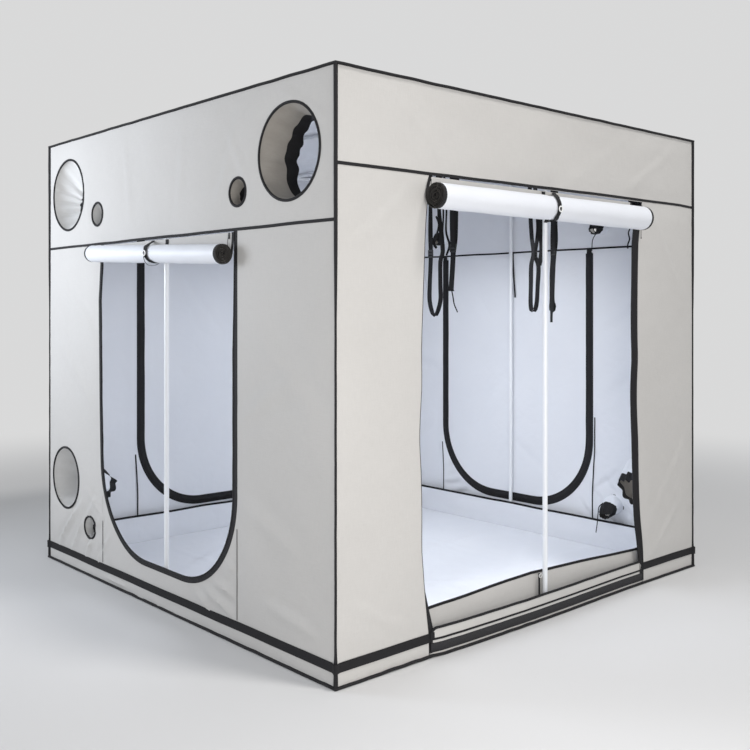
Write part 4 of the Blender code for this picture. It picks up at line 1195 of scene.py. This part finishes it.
TRAY_STEPS = 96
tray_corners = [Vector((-TRAY, -TRAY)), Vector((TRAY, -TRAY)), Vector((TRAY, TRAY)), Vector((-TRAY, TRAY))]
stations = []
for side, (start, end) in enumerate(zip(tray_corners, tray_corners[1:] + tray_corners[:1])):
    out = Vector(((0, -1), (1, 0), (0, 1), (-1, 0))[side])
    for k in range(TRAY_STEPS):
        share = k / TRAY_STEPS
        height = tray_height(share, side)
        sag = flutter(share * 9, side * 4.0, 2.0)
        lean = -0.004 + 0.005 * flutter(share * 12, side * 4.0, 8.0)
        hold = min(min(share, 1 - share) * 12, 1)
        stations.append((start.lerp(end, share), out, height + 0.003 * sag * hold, lean * hold))
points, flat, faces = [], [], []
ROWS = 8
run = 0.0
for index, (place, out, height, lean) in enumerate(stations + stations[:1]):
    for row in range(ROWS + 1):
        up = row / ROWS
        bulge = 0.004 * math.sin(math.pi * up) * flutter(run * 3.0, up * 2, 5.0)
        way = lean * up + bulge
        points.append((place.x + out.x * way, place.y + out.y * way, 0.003 + (height - 0.003) * up))
        flat.append((run, up * height))
    run += 4 * 2 * TRAY / len(stations)
for index in range(len(stations)):
    for row in range(ROWS):
        first = index * (ROWS + 1) + row
        faces.append((first, first + ROWS + 1, first + ROWS + 2, first + 1))
tray_walls = new_piece("tray_walls_cloth", points, faces, (canvas, film), flat)
mended(tray_walls, merge=True)
if max(tray_walls.data.polygons, key=lambda face: face.center.x).normal.x < 0:
    tray_walls.data.flip_normals()
thickened(tray_walls, 0.0010)
cloth_piece(
    tray_walls, "lining", "tray_walls", flat=(9.32, 0.158), held="stretched", rests_on=["tray_floor"],
)

TRAY_FOLD = mm((
    *arc((0, 2.8), 3, -60, 240, 9), (-1.6, -6), (-0.6, -6), (-0.6, 0.4), (0.6, 0.4), (0.6, -6), (1.6, -6),
))
rings = []
for index, (place, out, height, lean) in enumerate(stations):
    corner = index % TRAY_STEPS == 0
    way = out if not corner else Vector((math.copysign(1, place.x), math.copysign(1, place.y)))
    base = Vector((place.x + way.x * (lean - 0.0005), place.y + way.y * (lean - 0.0005), height))
    rings.append([base + Vector((way.x * a, way.y * a, b)) for a, b in TRAY_FOLD])
tray_binding = swept("tray_top_binding", rings, binding_tape, closed=True)
belongs(tray_binding, "tray_binding")


# Front sill: a low canvas band across the doorway, bound along its rounded top, with a
# sewn line and the black hook strip that the rolled-up door closes on.
SILL = 0.729
SILL_TOP = 0.115


def on_sill(across, out, up):
    """On the band, which the base rail behind it lets belly out a little."""
    belly = graded(SILL_BULGE, across) * (0.80 + 0.20 * min(max(up / 0.06, 0.0), 1.0))
    return on_front(across, out + belly, up)


sill_line = (
    arc((-SILL + 0.030, SILL_TOP - 0.030), 0.030, 180, 90, 8)
    + arc((SILL - 0.030, SILL_TOP - 0.030), 0.030, 90, 0, 8)
)
sill_outline = [(-SILL, EDGE_GAP), (SILL, EDGE_GAP)] + sill_line[::-1]
sill_creases = (((-0.4, 0.05), (-0.1, 0.10), 0.010, 0.002), ((0.2, 0.06), (0.5, 0.10), 0.010, 0.002))
sill = cut_cloth(
    "sill_band", sill_outline, [], on_sill, Drape(101, 0.0020, sill_creases, reach=0.03),
    (canvas, film), [[(-SILL, 0.037), (SILL, 0.037)], [(-SILL, 0.069), (SILL, 0.069)]], cell=0.012,
)
cloth_piece(
    sill, "canvas", "front_sill", flat=(2 * SILL, SILL_TOP), held="stretched",
    rests_on=["front_base_rail"],
)

EDGE_FOLD = mm((
    (-9, 0.4), (-8.6, 1.7), (-2, 2.2), (1, 1.8), (1.8, -0.6), (1, -3), (-2, -3.2), (-8.6, -2.8), (-9, -1.7),
    (-0.4, -1.7), (-0.4, 0.4),
))
line = spaced([(-SILL, 0.018)] + sill_line + [(SILL, 0.018)], 0.02, closed=False)
rings = []
for point, run in with_runs(line):
    outward = Vector((-run.y, run.x))
    wander = 0.0012 * flutter(point.x / 0.1, point.y / 0.1, 6.0)
    fold = [(point + outward * (t + wander), out) for t, out in EDGE_FOLD]
    rings.append([on_sill(spot.x, out, spot.y) for spot, out in fold])
sill_parts = [swept("sill_edge", rings, binding_tape)]
LINE_FOLD = [(0.0006, 0.0), (0.0018, 0.0005), (0.0022, 0.0043), (0.0018, 0.0081), (0.0006, 0.0086)]
sill_parts.append(level_tape(
    "sill_line", on_sill, SILL - 0.002, 60, LINE_FOLD, binding_tape,
    lambda across: 0.0647 + 0.0010 * flutter(across / 0.15, 0.0, 3.0),
))
sill_trim = joined("sill_trim", sill_parts)
belongs(sill_trim)

hook_cloth = Finish("hook_strip", Roughness=0.85)
uv = hook_cloth.node("ShaderNodeUVMap")
hooks = hook_cloth.node("ShaderNodeTexVoronoi", {"feature": "F1"}, {"Vector": uv, "Scale": 600.0})
hook_cloth.set(
    Base_Color=hook_cloth.mixed(hooks.clamped(), (0.030, 0.029, 0.032, 1), (0.014, 0.014, 0.016, 1)),
    Normal=hook_cloth.bump(1.0 - hooks, 0.0010, 0.8),
)
HOOK_FOLD = mm((
    (0.4, 0), (1.4, 0.2), (1.6, 2), (2.6, 3), (2.6, 33.6), (1.6, 34.6), (1.4, 36.4), (0.4, 36.6),
))
hook_strip = level_tape(
    "hook_strip_tape", on_sill, SILL - 0.001, 74, HOOK_FOLD, hook_cloth,
    lambda across: 0.0182 + 0.0008 * flutter(across / 0.2, 1.0, 3.0),
)
belongs(hook_strip, "hook_strip")


# Rolled doors: each open door is rolled up outwards from its foot, lining outside, hangs by
# its own top edge from the header seam, and is held by one strap through a white ring.
def speckled(name, speck, low, high, bump, shine=None, **constants):
    """A finish whose tone and grain, and shine where given, follow one fine noise."""
    made = Finish(name, **constants)
    speck = made.noise(made.place(), *speck)
    if shine:
        made.set(Roughness=shine[0] + shine[1] * speck)
    return made.set(Base_Color=made.mixed(speck, low, high), Normal=made.bump(speck, *bump))


worn_edge = speckled(
    "worn_tape_edge", (90.0, 4.0, 0.6), (0.022, 0.020, 0.018, 1), (0.105, 0.100, 0.094, 1), (0.0010, 0.6),
    Roughness=0.85, Specular_IOR_Level=0.2,
)


# A roll's centre and its hinge are (out, up) from the wall's face, and its middle and its
# strap's place lie across it. tilt is how far its right end hangs down, and swell_to how much
# thicker it grows towards that end.
Roll = namedtuple("Roll", "centre radius core length hinge middle half tilt swell_to strap_at")
ROLLS = {
    "front": Roll(
        centre=(0.066, 1.765), radius=0.0545, core=0.004, length=1.751, hinge=(0.0013, 1.8457),
        middle=-0.064, half=0.705, tilt=0.0, swell_to=0.06, strap_at=-0.076,
    ),
    "left": Roll(
        centre=(0.051, 1.580), radius=0.0430, core=0.004, length=1.417, hinge=(0.0013, 1.6457),
        middle=-0.015, half=0.580, tilt=0.024, swell_to=0.0, strap_at=0.012,
    ),
}


def roll_up(name, place, roll, seed):
    """The rolled sheet, wound unevenly round nothing, and the length that it hangs by."""
    centre, radius, core, length, hinge, middle, half, tilt, swell_to, strap_at = roll
    sheet = 0.0020
    start = radius - sheet / 2
    pitch = math.pi * (start ** 2 - core ** 2) / length
    turns = (start - core) / pitch
    steps = 28
    line = []
    for i in range(int(turns * steps) + 1):
        turn = 2 * math.pi * i / steps
        wound = i / steps
        bunched = 0.21 * (math.sin(turn / 2.6 + seed) - math.sin(seed)) * min(wound, turns - wound, 1.0)
        reach = start - pitch * (wound + bunched)
        line.append((turn, reach))
    tape = 0.015
    across_stations = [-half, -half + tape * 0.5, -half + tape]
    count = 58
    across_stations += [-half + tape + (2 * half - 2 * tape) * k / count for k in range(1, count)]
    across_stations += [half - tape, half - tape * 0.5, half]
    points, flat = [], []
    hanging = 7
    for row in range(hanging + len(line)):
        if row < hanging:
            share = row / hanging
            run = share * (hinge[1] - centre[1])
            layer = 0.0
        else:
            turn, reach = line[row - hanging]
            run = (hinge[1] - centre[1]) + turn * (start + reach) / 2
            layer = turn / (2 * math.pi)
        for x in across_stations:
            pull = math.exp(-((x - (strap_at - middle)) / 0.035) ** 2)
            near_end = max(abs(x) - half + 0.02, 0.0) / 0.02
            stagger = near_end * 0.011 * flutter(layer * 1.9, math.copysign(4.0, x), seed)
            swell = 0.012 * flutter(x / 0.22, seed, 0.5) - 0.055 * pull + swell_to * x / half
            drop = tilt * x / half
            if row < hanging:
                tangent_out = centre[0] - start * (1 + swell)
                curve = share ** 2.2
                out = hinge[0] + (tangent_out - hinge[0]) * curve
                up = hinge[1] - 0.0016 + (centre[1] - drop - hinge[1] + 0.0016) * share
            else:
                dent = 0.014 * flutter(x / 0.10, math.cos(turn) * 1.2, math.sin(turn) * 1.2 + seed)
                lower = max(math.sin(turn), 0.0) ** 2
                fine = 0.030 * lower * flutter(x / 0.045, math.cos(turn) * 3.5, seed + 2)
                size = reach * (1 + swell + (dent + fine) * (1 - pull))
                out = centre[0] - size * math.cos(turn)
                up = centre[1] - drop - size * math.sin(turn)
            drawn_in = 0.0
            if row < hanging and place is on_front:
                drawn_in = 0.031 * (1 - share) * max(-x / half, 0.0)
            points.append(place(middle + x + stagger + drawn_in, out, up))
            flat.append((x, run))
    width = len(across_stations)
    faces = grid_faces(hanging + len(line), width)
    marks = [0 if 2 <= face[0] % width <= width - 4 else 2 for face in faces]
    piece = new_piece(name, points, faces, (film, canvas, zip_cloth, zip_cloth, worn_edge), flat, marks)
    return thickened(piece, 0.0018, 0.0, rim=2)


for side, place, flat, seed in (
    ("front", on_front, (1.41, 1.84), 2.0), ("left", on_left, (1.16, 1.49), 6.0),
):
    sheet = roll_up(side + "_rolled_door", place, ROLLS[side], seed)
    cloth_piece(
        sheet, "lining", side + "_door_roll", side + "_door", flat=flat, held="folded",
        rests_on=[side + "_roll_strap"],
    )


# Straps and seams: what is sewn from narrow tape besides the bindings. Black tapes cover the
# joins on the lined side, and the widths of the side walls meet in faint ridges outside.
def smoothed(points, step=0.012):
    """A smooth line through the points, as places about a step apart."""
    points = [Vector(point) for point in points]
    run = [2 * points[0] - points[1]] + points + [2 * points[-1] - points[-2]]
    line = []
    for a, b, c, d in zip(run, run[1:], run[2:], run[3:]):
        count = max(1, round((c - b).length / step))
        bend, twist = 2 * a - 5 * b + 4 * c - d, 3 * b - a - 3 * c + d
        for t in (k / count for k in range(count)):
            line.append(0.5 * (2 * b + (c - a) * t + bend * t * t + twist * t ** 3))
    return line + [points[-1]]


def strap(name, line, across, width=0.025, thick=0.0015, finish=webbing, closed=False):
    """A flat strap along a line of places; across is the way over its width, or one way for
    each place."""
    ways = across if isinstance(across, list) else [Vector(across)] * len(line)
    rings, last = [], len(line) - 1
    for i, (place, way) in enumerate(zip(line, ways)):
        after = line[(i + 1) % len(line)] if closed else line[min(i + 1, last)]
        run = (after - line[i - 1 if closed else max(i - 1, 0)]).normalized()
        side = (way - run * way.dot(run)).normalized()
        face = run.cross(side)
        half, deep, rim = width / 2, thick / 2, min(0.003, width / 5)
        rings.append([place + side * a + face * b for a, b in (
            (-half, 0.0), (-half + rim / 3, deep), (-half + rim, 0.7 * deep), (0.0, 0.9 * deep),
            (half - rim, 0.7 * deep), (half - rim / 3, deep), (half, 0.0), (half - rim / 3, -deep),
            (0.0, -0.9 * deep), (-half + rim / 3, -deep),
        )])
    return swept(name, rings, finish, closed)


UPRIGHT = Vector((0, 0, 1))
LINED_FACE = -0.0022
inner_seams = []
for place, _, seam in WALLS.values():
    line = []
    for across in np.linspace(-TRAY, TRAY, 61):
        up = seam + 0.0215 + 0.003 * flutter(across / 0.3, seam, 8.0)
        line.append(place(across, LINED_FACE, up))
    inner_seams.append(strap("seam", line, UPRIGHT, 0.010, 0.0014, binding_tape))
for side, foot in (("right", 0.46), ("back", 0.50), ("left", 0.46)):
    place, half, _ = WALLS[side]
    for across in (-half, half):
        top = 0.72 if place is on_right and across < 0 else foot
        line = [
            place(
                across + math.copysign(0.016 * soft_step((up - 0.28) / 0.3), across)
                + 0.002 * flutter(up / 0.1, across, 1.0), LINED_FACE, up,
            ) for up in np.linspace(0.02, top, 22)
        ]
        inner_seams.append(strap("seam", line, heading(place), 0.008, 0.0012, binding_tape))
for place, half, seam in (WALLS["right"], WALLS["back"]):
    for sign in (-1, 1):
        line = [place(sign * (half - 0.019), -0.0056, seam + up) for up in (-0.030, -0.010, 0.006, 0.022)]
        inner_seams.append(strap("top", line, heading(place), 0.034, 0.0014, binding_tape))
wall_tie = ((-0.007, 1.680), (-0.007, 1.640), (-0.012, 1.539), (-0.024, 1.402))
wall_tie = smoothed([(1.1945, y, z) for y, z in wall_tie], 0.02)
inner_seams.append(strap("tie", wall_tie, Vector((0, 1, 0)), 0.011, 0.0014))
seam_covers = joined("inner_seam_tapes", inner_seams)
belongs(seam_covers)

ridges = []
for place in (on_left, on_right):
    for across in (-SIDE_BAY, SIDE_BAY):
        line = [place(across, 0.0012, up) for up in np.linspace(0.098, 0.42, 12)]
        ridges.append(strap("ridge", line, heading(place), 0.007, 0.0020, canvas))
        top = 0.30 if across < 0 else 0.46
        stitched = [place(across + 0.0038, 0.0018, up) for up in np.linspace(0.098, top, 12)]
        ridges.append(strap("stitching", stitched, heading(place), 0.0026, 0.0012, binding_tape))
wall_ridges = joined("wall_seam_ridges", ridges)
belongs(wall_ridges)

# Each roll's strap starts at the header seam, runs through a white ring in front of the roll
# and goes under it and up behind, back to the seam.
white_plastic = speckled(
    "white_moulded_plastic", (260.0, 3.0), (0.80, 0.80, 0.79, 1), (0.88, 0.88, 0.87, 1), (0.0002, 0.5),
    (0.30, 0.14), Coat_Weight=0.15,
)


def hoop(name, hub, wide, high, face, reach, thick, deep):
    """A moulded ring round its hub; wide and high are the ways over its plane."""
    rings = []
    for turn in (math.tau * k / 24 for k in range(24)):
        spoke = wide * math.cos(turn) + high * math.sin(turn)
        rings.append([
            hub + spoke * (reach + thick * math.cos(t)) + face * (deep * math.sin(t))
            for t in (math.tau * j / 10 for j in range(10))
        ])
    return swept(name, rings, white_plastic, closed=True)


# Each row: the wall, where the strap leaves the seam, its slant as (turn, across), the turn at
# which its ring lies, and its loose end as (turn, proud of the roll, across).
for side, place, from_seam, slant, low, loose in (
    ("front", on_front, 0.034, (
        (-170, -0.04), (-88, -0.05), (-49, -0.073), (0, -0.077), (33, -0.075), (60, -0.068),
    ), -9, ((-88, 0.002, -0.056), (-96, 0.004, -0.074), (-106, 0.003, -0.092))),
    ("left", on_left, -0.080, (
        (-170, 0.044), (-88, 0.042), (-65, 0.036), (-48, 0.02), (0, 0.01), (34, 0.002), (60, -0.014),
    ), 1, (
        (-8, 0.003, 0.008), (-24, 0.003, -0.001), (-44, 0.009, 0.0), (-62, 0.015, 0.012),
        (-78, 0.011, 0.036), (-92, 0.003, 0.052),
    )),
):
    roll = ROLLS[side]
    centre, radius, hinge = roll.centre, roll.radius, roll.hinge
    drop = roll.tilt * (roll.strap_at - roll.middle) / roll.half

    def round_roll(across, turn, reach):
        turn = math.radians(turn)
        return place(across, centre[0] + reach * math.cos(turn), centre[1] - drop + reach * math.sin(turn))

    line = [place(from_seam, 0.0034, hinge[1] - 0.0030), place(from_seam, 0.0075, hinge[1] - 0.0080)]
    for turn in range(51, -171, -9):
        line.append(round_roll(graded(slant, turn), turn, radius * 0.965 + 0.0016))
    behind = slant[0][1]
    line += [place(behind, 0.0060, centre[1] + 0.016), place(behind, 0.0042, hinge[1] - 0.004)]
    line = smoothed(line, 0.008)
    roll_strap = strap(side + "_roll_tie", line, heading(place), 0.025, 0.0013)
    tail = smoothed([round_roll(across, turn, radius + proud) for turn, proud, across in loose], 0.006)
    tail = strap("tail", tail, heading(place, 0.8, 0.6), 0.016, 0.0011)
    roll_strap = joined(side + "_roll_tie", [roll_strap, tail])
    hub = round_roll(graded(slant, low), low, radius + 0.0052)
    along = heading(place)
    ring = hoop(side + "_strap_ring", hub, along, UPRIGHT, along.cross(UPRIGHT), 0.0112, 0.0028, 0.0024)
    belongs(roll_strap, side + "_roll_strap", side + "_door")
    belongs(ring, side + "_roll_ring", side + "_door")


# Hanging belts: webbing thrown over each roof bar and gathered in a moulded ladder buckle,
# with a long loop or a loose end below, for lamps and filters.
black_plastic = speckled(
    "black_moulded_plastic", (320.0, 3.0), (0.010, 0.010, 0.011, 1), (0.024, 0.024, 0.026, 1),
    (0.0002, 0.6), (0.36, 0.16),
)
BAR_TOP = 2.1815


def primitive(name, add, **settings):
    bpy.ops.object.select_all(action="DESELECT")
    add(**settings)
    bpy.context.object.name = bpy.context.object.data.name = name
    return bpy.context.object


def pick(piece, wanted, faces=True):
    """In edit mode, select only the faces, or the points, whose middle is wanted."""
    bpy.ops.mesh.select_all(action="DESELECT")
    mesh = bmesh.from_edit_mesh(piece.data)
    for item in mesh.faces if faces else mesh.verts:
        item.select = wanted(*(item.calc_center_median() if faces else item.co))
    bmesh.update_edit_mesh(piece.data)


def ladder_buckle(name, middle, lean):
    """A flat plate with two windows, rounded all over."""
    buckle = primitive(name, bpy.ops.mesh.primitive_grid_add, x_subdivisions=3, y_subdivisions=5, size=1)
    bpy.ops.object.mode_set(mode="EDIT")
    pick(buckle, lambda x, y, z: abs(x) < 0.1 and 0.1 < abs(y) < 0.3)
    bpy.ops.mesh.delete(type="FACE")
    pick(buckle, lambda x, y, z: abs(x) < 0.3, faces=False)
    bpy.ops.transform.resize(value=(2.3, 1, 1))
    bpy.ops.mesh.select_all(action="SELECT")
    bpy.ops.transform.resize(value=(0.030, 0.034, 1))
    bpy.ops.object.mode_set(mode="OBJECT")
    finished(
        buckle, ("SOLIDIFY", {"thickness": 0.0055, "offset": 0.0}),
        ("BEVEL", {"width": 0.0011, "segments": 2, "limit_method": "ANGLE"}),
    )
    buckle.data.materials.append(black_plastic.material)
    upright = Matrix.Rotation(math.pi / 2, 4, "X")
    turned = Matrix.Rotation(math.pi / 2 + lean, 4, "Z")
    buckle.data.transform(Matrix.Translation(middle) @ turned @ upright)
    buckle.data.shade_smooth()
    return buckle


OVER_BAR = [(aside, 0.0, BAR_TOP + up) for aside, up in arc((0.0, 0.0), 0.0120, 180, 0, 10)]


# Each belt in millimetres: where it hangs, the way down from the bar and back up to it, its
# buckle, and loose ends with their widths, all as steps from the bar (aside, along it, up).
BELTS = (
    (
        (-400, -1020),
        (
            (11.8, 0, 2100), (16, 4, 1900), (14, 8, 1740), (10, 8, 1630), (3, 12, 1570), (2.5, 16, 1500),
            (0, 22, 1412), (-2.5, 20, 1420), (-1, 14, 1500), (0, 10, 1570), (-8, 6, 1630), (-12, 4, 1740),
            (-14, 2, 1900), (-11.8, 0, 2100),
        ),
        (-2, 10, 1592), ((((1, 20, 1418), (6, 16, 1385), (3, 6, 1355), (8, -8, 1322)), 6),),
    ),
    (
        (-400, -890),
        (
            (11.8, -4, 2100), (18, -14, 1900), (18, -22, 1740), (22, -30, 1660), (20, -40, 1580),
            (16, -30, 1540), (18, -28, 1440), (18, -29, 1375), (12, -16, 1322), (4, -8, 1306),
            (-2, 0, 1318), (-6, 13, 1372), (-6, 12, 1450), (-2, 10, 1560), (-2, 12, 1660), (-4, 10, 1800),
            (-10, 4, 1950), (-11.8, 0, 2100),
        ),
        (-2, 11, 1573),
        (
            (((10, -10, 1735), (16, -20, 1700), (10, -14, 1655), (4, -4, 1615), (8, -16, 1598)), 12),
            (
                (
                    (14, -4, 2120), (30, -18, 1920), (34, -30, 1760), (26, -32, 1660), (28, -26, 1600),
                    (26, -40, 1555),
                ),
                11,
            ),
            (
                (
                    (14, -10, 2120), (28, -36, 1940), (32, -50, 1780), (28, -52, 1670), (32, -68, 1610),
                    (28, -54, 1565),
                ),
                11,
            ),
        ),
    ),
    (
        (400, -930),
        (
            (11.8, 0, 2100), (14, 6, 1900), (10, 6, 1760), (8, 4, 1660), (4, 10, 1590), (2.5, 16, 1500),
            (2.5, 18, 1380), (4, 10, 1348), (1, 18, 1320), (-2.5, 20, 1345), (-1.5, 18, 1380),
            (-1, 16, 1500), (0, 12, 1590), (-6, 8, 1660), (-10, 4, 1760), (-14, 2, 1900), (-11.8, 0, 2100),
        ),
        (1, 12, 1612), ((((0, 20, 1340), (1, 22, 1300), (1, 22, 1270)), 18),),
    ),
    (
        (400, -780),
        (
            (11.8, -4, 2100), (18, -18, 1900), (18, -34, 1740), (10, -26, 1640), (6, -22, 1600),
            (12, -40, 1545), (14, -34, 1450), (12, -30, 1370), (6, -22, 1326), (-2, -12, 1322),
            (-6, -6, 1360), (-4, -6, 1460), (-4, -8, 1550), (0, -18, 1610), (-4, -10, 1700), (-8, -6, 1820),
            (-11.8, 0, 2100),
        ),
        (4, -22, 1604),
        ((((20, -48, 1840), (18, -52, 1740), (18, -54, 1640), (14, -52, 1585), (12, -44, 1550)), 30),),
    ),
)
for number, row in enumerate(BELTS, 1):
    (bar_x, bar_y), way_round, buckle_at, ends = mm(row)
    name = "belt_%d_" % number

    def hung(steps):
        return [Vector((bar_x + aside, bar_y + along, up)) for aside, along, up in steps]

    line = smoothed(hung((*OVER_BAR, *way_round)), 0.012)
    ways = [
        Vector((0.25 * flutter(spot.z * 7, number, 0.0) if spot.z < 1.9 else 0, 1, 0)) for spot in line
    ]
    parts = [strap(name + "strap", line, ways, 0.029 if number % 2 else 0.026, closed=True)]
    for end, width in ends:
        line = smoothed(hung(end), 0.008)
        ways = [Vector((0.5 * flutter(spot.z * 9, number, 3.0), 1, 0)) for spot in line]
        parts.append(strap("end", line, ways, width))
    belt = joined(name + "webbing", parts)
    buckle = ladder_buckle(name + "buckle", hung([buckle_at])[0], 0.12 * math.sin(number * 2.0))
    belongs(belt, "hanging_belt_%d" % number, "belt_%d" % number)
    belongs(buckle, body="belt_%d" % number)


# Zip sliders: small moulded shuttles with a bridge on top and a knotted cord for a pull. Two
# close each shut door, and those of the open doors are parked at the tops of their zips.
def knot(name, middle, size):
    bead = primitive(name, bpy.ops.mesh.primitive_ico_sphere_add, subdivisions=2, radius=size)
    for vertex in bead.data.vertices:
        vertex.co *= 1 + 0.25 * noise.noise(vertex.co / size * 1.6 + middle)
        vertex.co.z *= 1.25
    bead.data.transform(Matrix.Translation(middle))
    bead.data.materials.append(binding_tape.material)
    bead.data.shade_smooth()
    return bead


def pull_cord(name, points, radius, body):
    """A limp cord that hangs from its first point, tied off at its end."""
    line = smoothed(points, (Vector(points[0]) - Vector(points[-1])).length / 18)
    curve = bpy.data.curves.new(name, "CURVE")
    curve.dimensions = "3D"
    curve.bevel_depth = radius
    curve.bevel_resolution = 2
    curve.use_fill_caps = True
    spline = curve.splines.new("POLY")
    spline.points.add(len(line) - 1)
    for point, place in zip(spline.points, line):
        point.co = (*place, 1.0)
    cord = bpy.data.objects.new(name, curve)
    bpy.context.scene.collection.objects.link(cord)
    curve.materials.append(cord_cloth.material)
    bead = knot(name + "_knot", line[-1] - Vector((0, 0, radius)), 2.1 * radius)
    length = sum((b - a).length for a, b in zip(line, line[1:]))
    for piece in (cord, bead):
        belongs(piece, body=body)
    tuple(line[0])


cord_cloth = speckled(
    "black_cord", (900.0, 2.0), (0.007, 0.007, 0.008, 1), (0.022, 0.021, 0.023, 1), (0.0006, 0.8),
    Roughness=0.8,
)


def slider(name, place, across, up, body, node=None, aside=0.0, sway=0.0):
    """One slider with its length upright, and its cord down from the bridge."""
    shuttle = primitive(name, bpy.ops.mesh.primitive_cube_add, size=1)
    bpy.ops.object.mode_set(mode="EDIT")
    bpy.ops.transform.resize(value=(0.0115, 0.0255, 0.0050))
    bpy.ops.mesh.subdivide(number_cuts=3)
    pick(shuttle, lambda x, y, z: y < -0.009, faces=False)
    bpy.ops.transform.resize(value=(0.62, 1, 1))
    pick(shuttle, lambda x, y, z: z > 0.0024 and abs(x) < 0.0032 and abs(y) < 0.007)
    bpy.ops.mesh.extrude_region_move(TRANSFORM_OT_translate={"value": (0, 0, 0.0026)})
    bpy.ops.transform.resize(value=(0.55, 0.8, 1))
    bpy.ops.object.mode_set(mode="OBJECT")
    finished(shuttle, ("BEVEL", {"width": 0.0006, "segments": 2, "limit_method": "ANGLE"}))
    side = heading(place)
    out = heading(place, 0, 1)
    turn = Matrix((side, UPRIGHT, side.cross(UPRIGHT))).transposed().to_4x4()
    if side.cross(UPRIGHT).dot(out) < 0:
        turn = Matrix((-side, UPRIGHT, -side.cross(UPRIGHT))).transposed().to_4x4()
    shuttle.data.transform(Matrix.Translation(place(across, 0.0030, up)) @ turn)
    shuttle.data.materials.append(black_plastic.material)
    shuttle.data.shade_smooth()
    shuttle.data.set_sharp_from_angle(angle=math.radians(40))
    belongs(shuttle, node, body)
    pull_cord(name + "_pull", [
        place(across + aside + share * sway, stand, up - down) for share, stand, down in (
            (0.0, 0.0078, 0.004), (0.1, 0.0098, 0.018), (0.5, 0.0092, 0.036), (1.0, 0.008, 0.056),
        )
    ], 0.0013, body)


for side, place, across in (("right", on_right, -0.563), ("back", on_back, 0.664)):
    for level, shift in (("upper", 1), ("lower", -1)):
        body = "%s_slider_%s" % (side, "up" if shift > 0 else "down")
        slider(
            "%s_%s_shuttle" % (side, level), place, across, 1.000 + 0.01315 * shift, body,
            "%s_slider_%s" % (side, level), 0.003 * shift,
        )
for name, place, across, up, sway in (
    ("front_left_parked", on_front, -0.716, 1.782, 0.004),
    ("front_right_parked", on_front, 0.706, 1.735, 0.005),
    ("left_near_parked", on_left, 0.534, 1.630, -0.003),
    ("left_far_parked", on_left, -0.572, 1.590, -0.004),
):
    slider(name + "_slider", place, across, up, "tent", sway=sway)


# Ties and cords: the tie that holds the tray up by the doorway's pole and its ring, the
# ends of the sleeves' drawcords, and the webbing's frayed end at the doorway.
loose_ends = []
for places, across, width in (
    (
        ((-0.036, -1.1775, 0.19), (-0.036, -1.179, 0.14), (-0.036, -1.1785, 0.09), (-0.036, -1.178, 0.052)),
        (1, 0, 0), 0.014,
    ),
    (
        (
            (1.135, -0.697, 0.26), (1.135, -0.671, 0.234), (1.135, -0.665, 0.194), (1.135, -0.659, 0.138),
            (1.135, -0.651, 0.089),
        ),
        (0, 1, 0), 0.006,
    ),
    (((1.135, -0.655, 1.756), (1.135, -0.629, 1.718), (1.135, -0.624, 1.657)), (0, 1, 0), 0.006),
    (
        (
            (1.15, -0.86, 1.769), (1.15, -0.85, 1.745), (1.15, -0.857, 1.712), (1.15, -0.847, 1.686),
            (1.15, -0.846, 1.661),
        ),
        (0, 1, 0), 0.009,
    ),
    (((-0.734, -1.206, 0.084), (-0.71, -1.206, 0.083), (-0.685, -1.206, 0.082)), (0, 0, 1), 0.026),
):
    line = smoothed([Vector(place) for place in places], 0.008)
    ways = [Vector(across) + 0.3 * Vector((0, 0, noise.noise(place * 40))) for place in line]
    loose_ends.append(strap("end", line, ways, width, 0.0013))
ties = joined("ties_and_cords", loose_ends)
belongs(ties)
tray_ring = hoop(
    "tray_tie_ring", Vector((-0.0325, -1.1835, 0.1800)), Vector((1, 0, 0)), Vector((0, 0, 0.75)),
    Vector((0, 1, 0)), 0.0105, 0.0017, 0.0017,
)
belongs(tray_ring)

boxes = {"cad": cad_box, "visual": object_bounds()}
{name: [list(map(float, corner)) for corner in box] for name, box in boxes.items()}
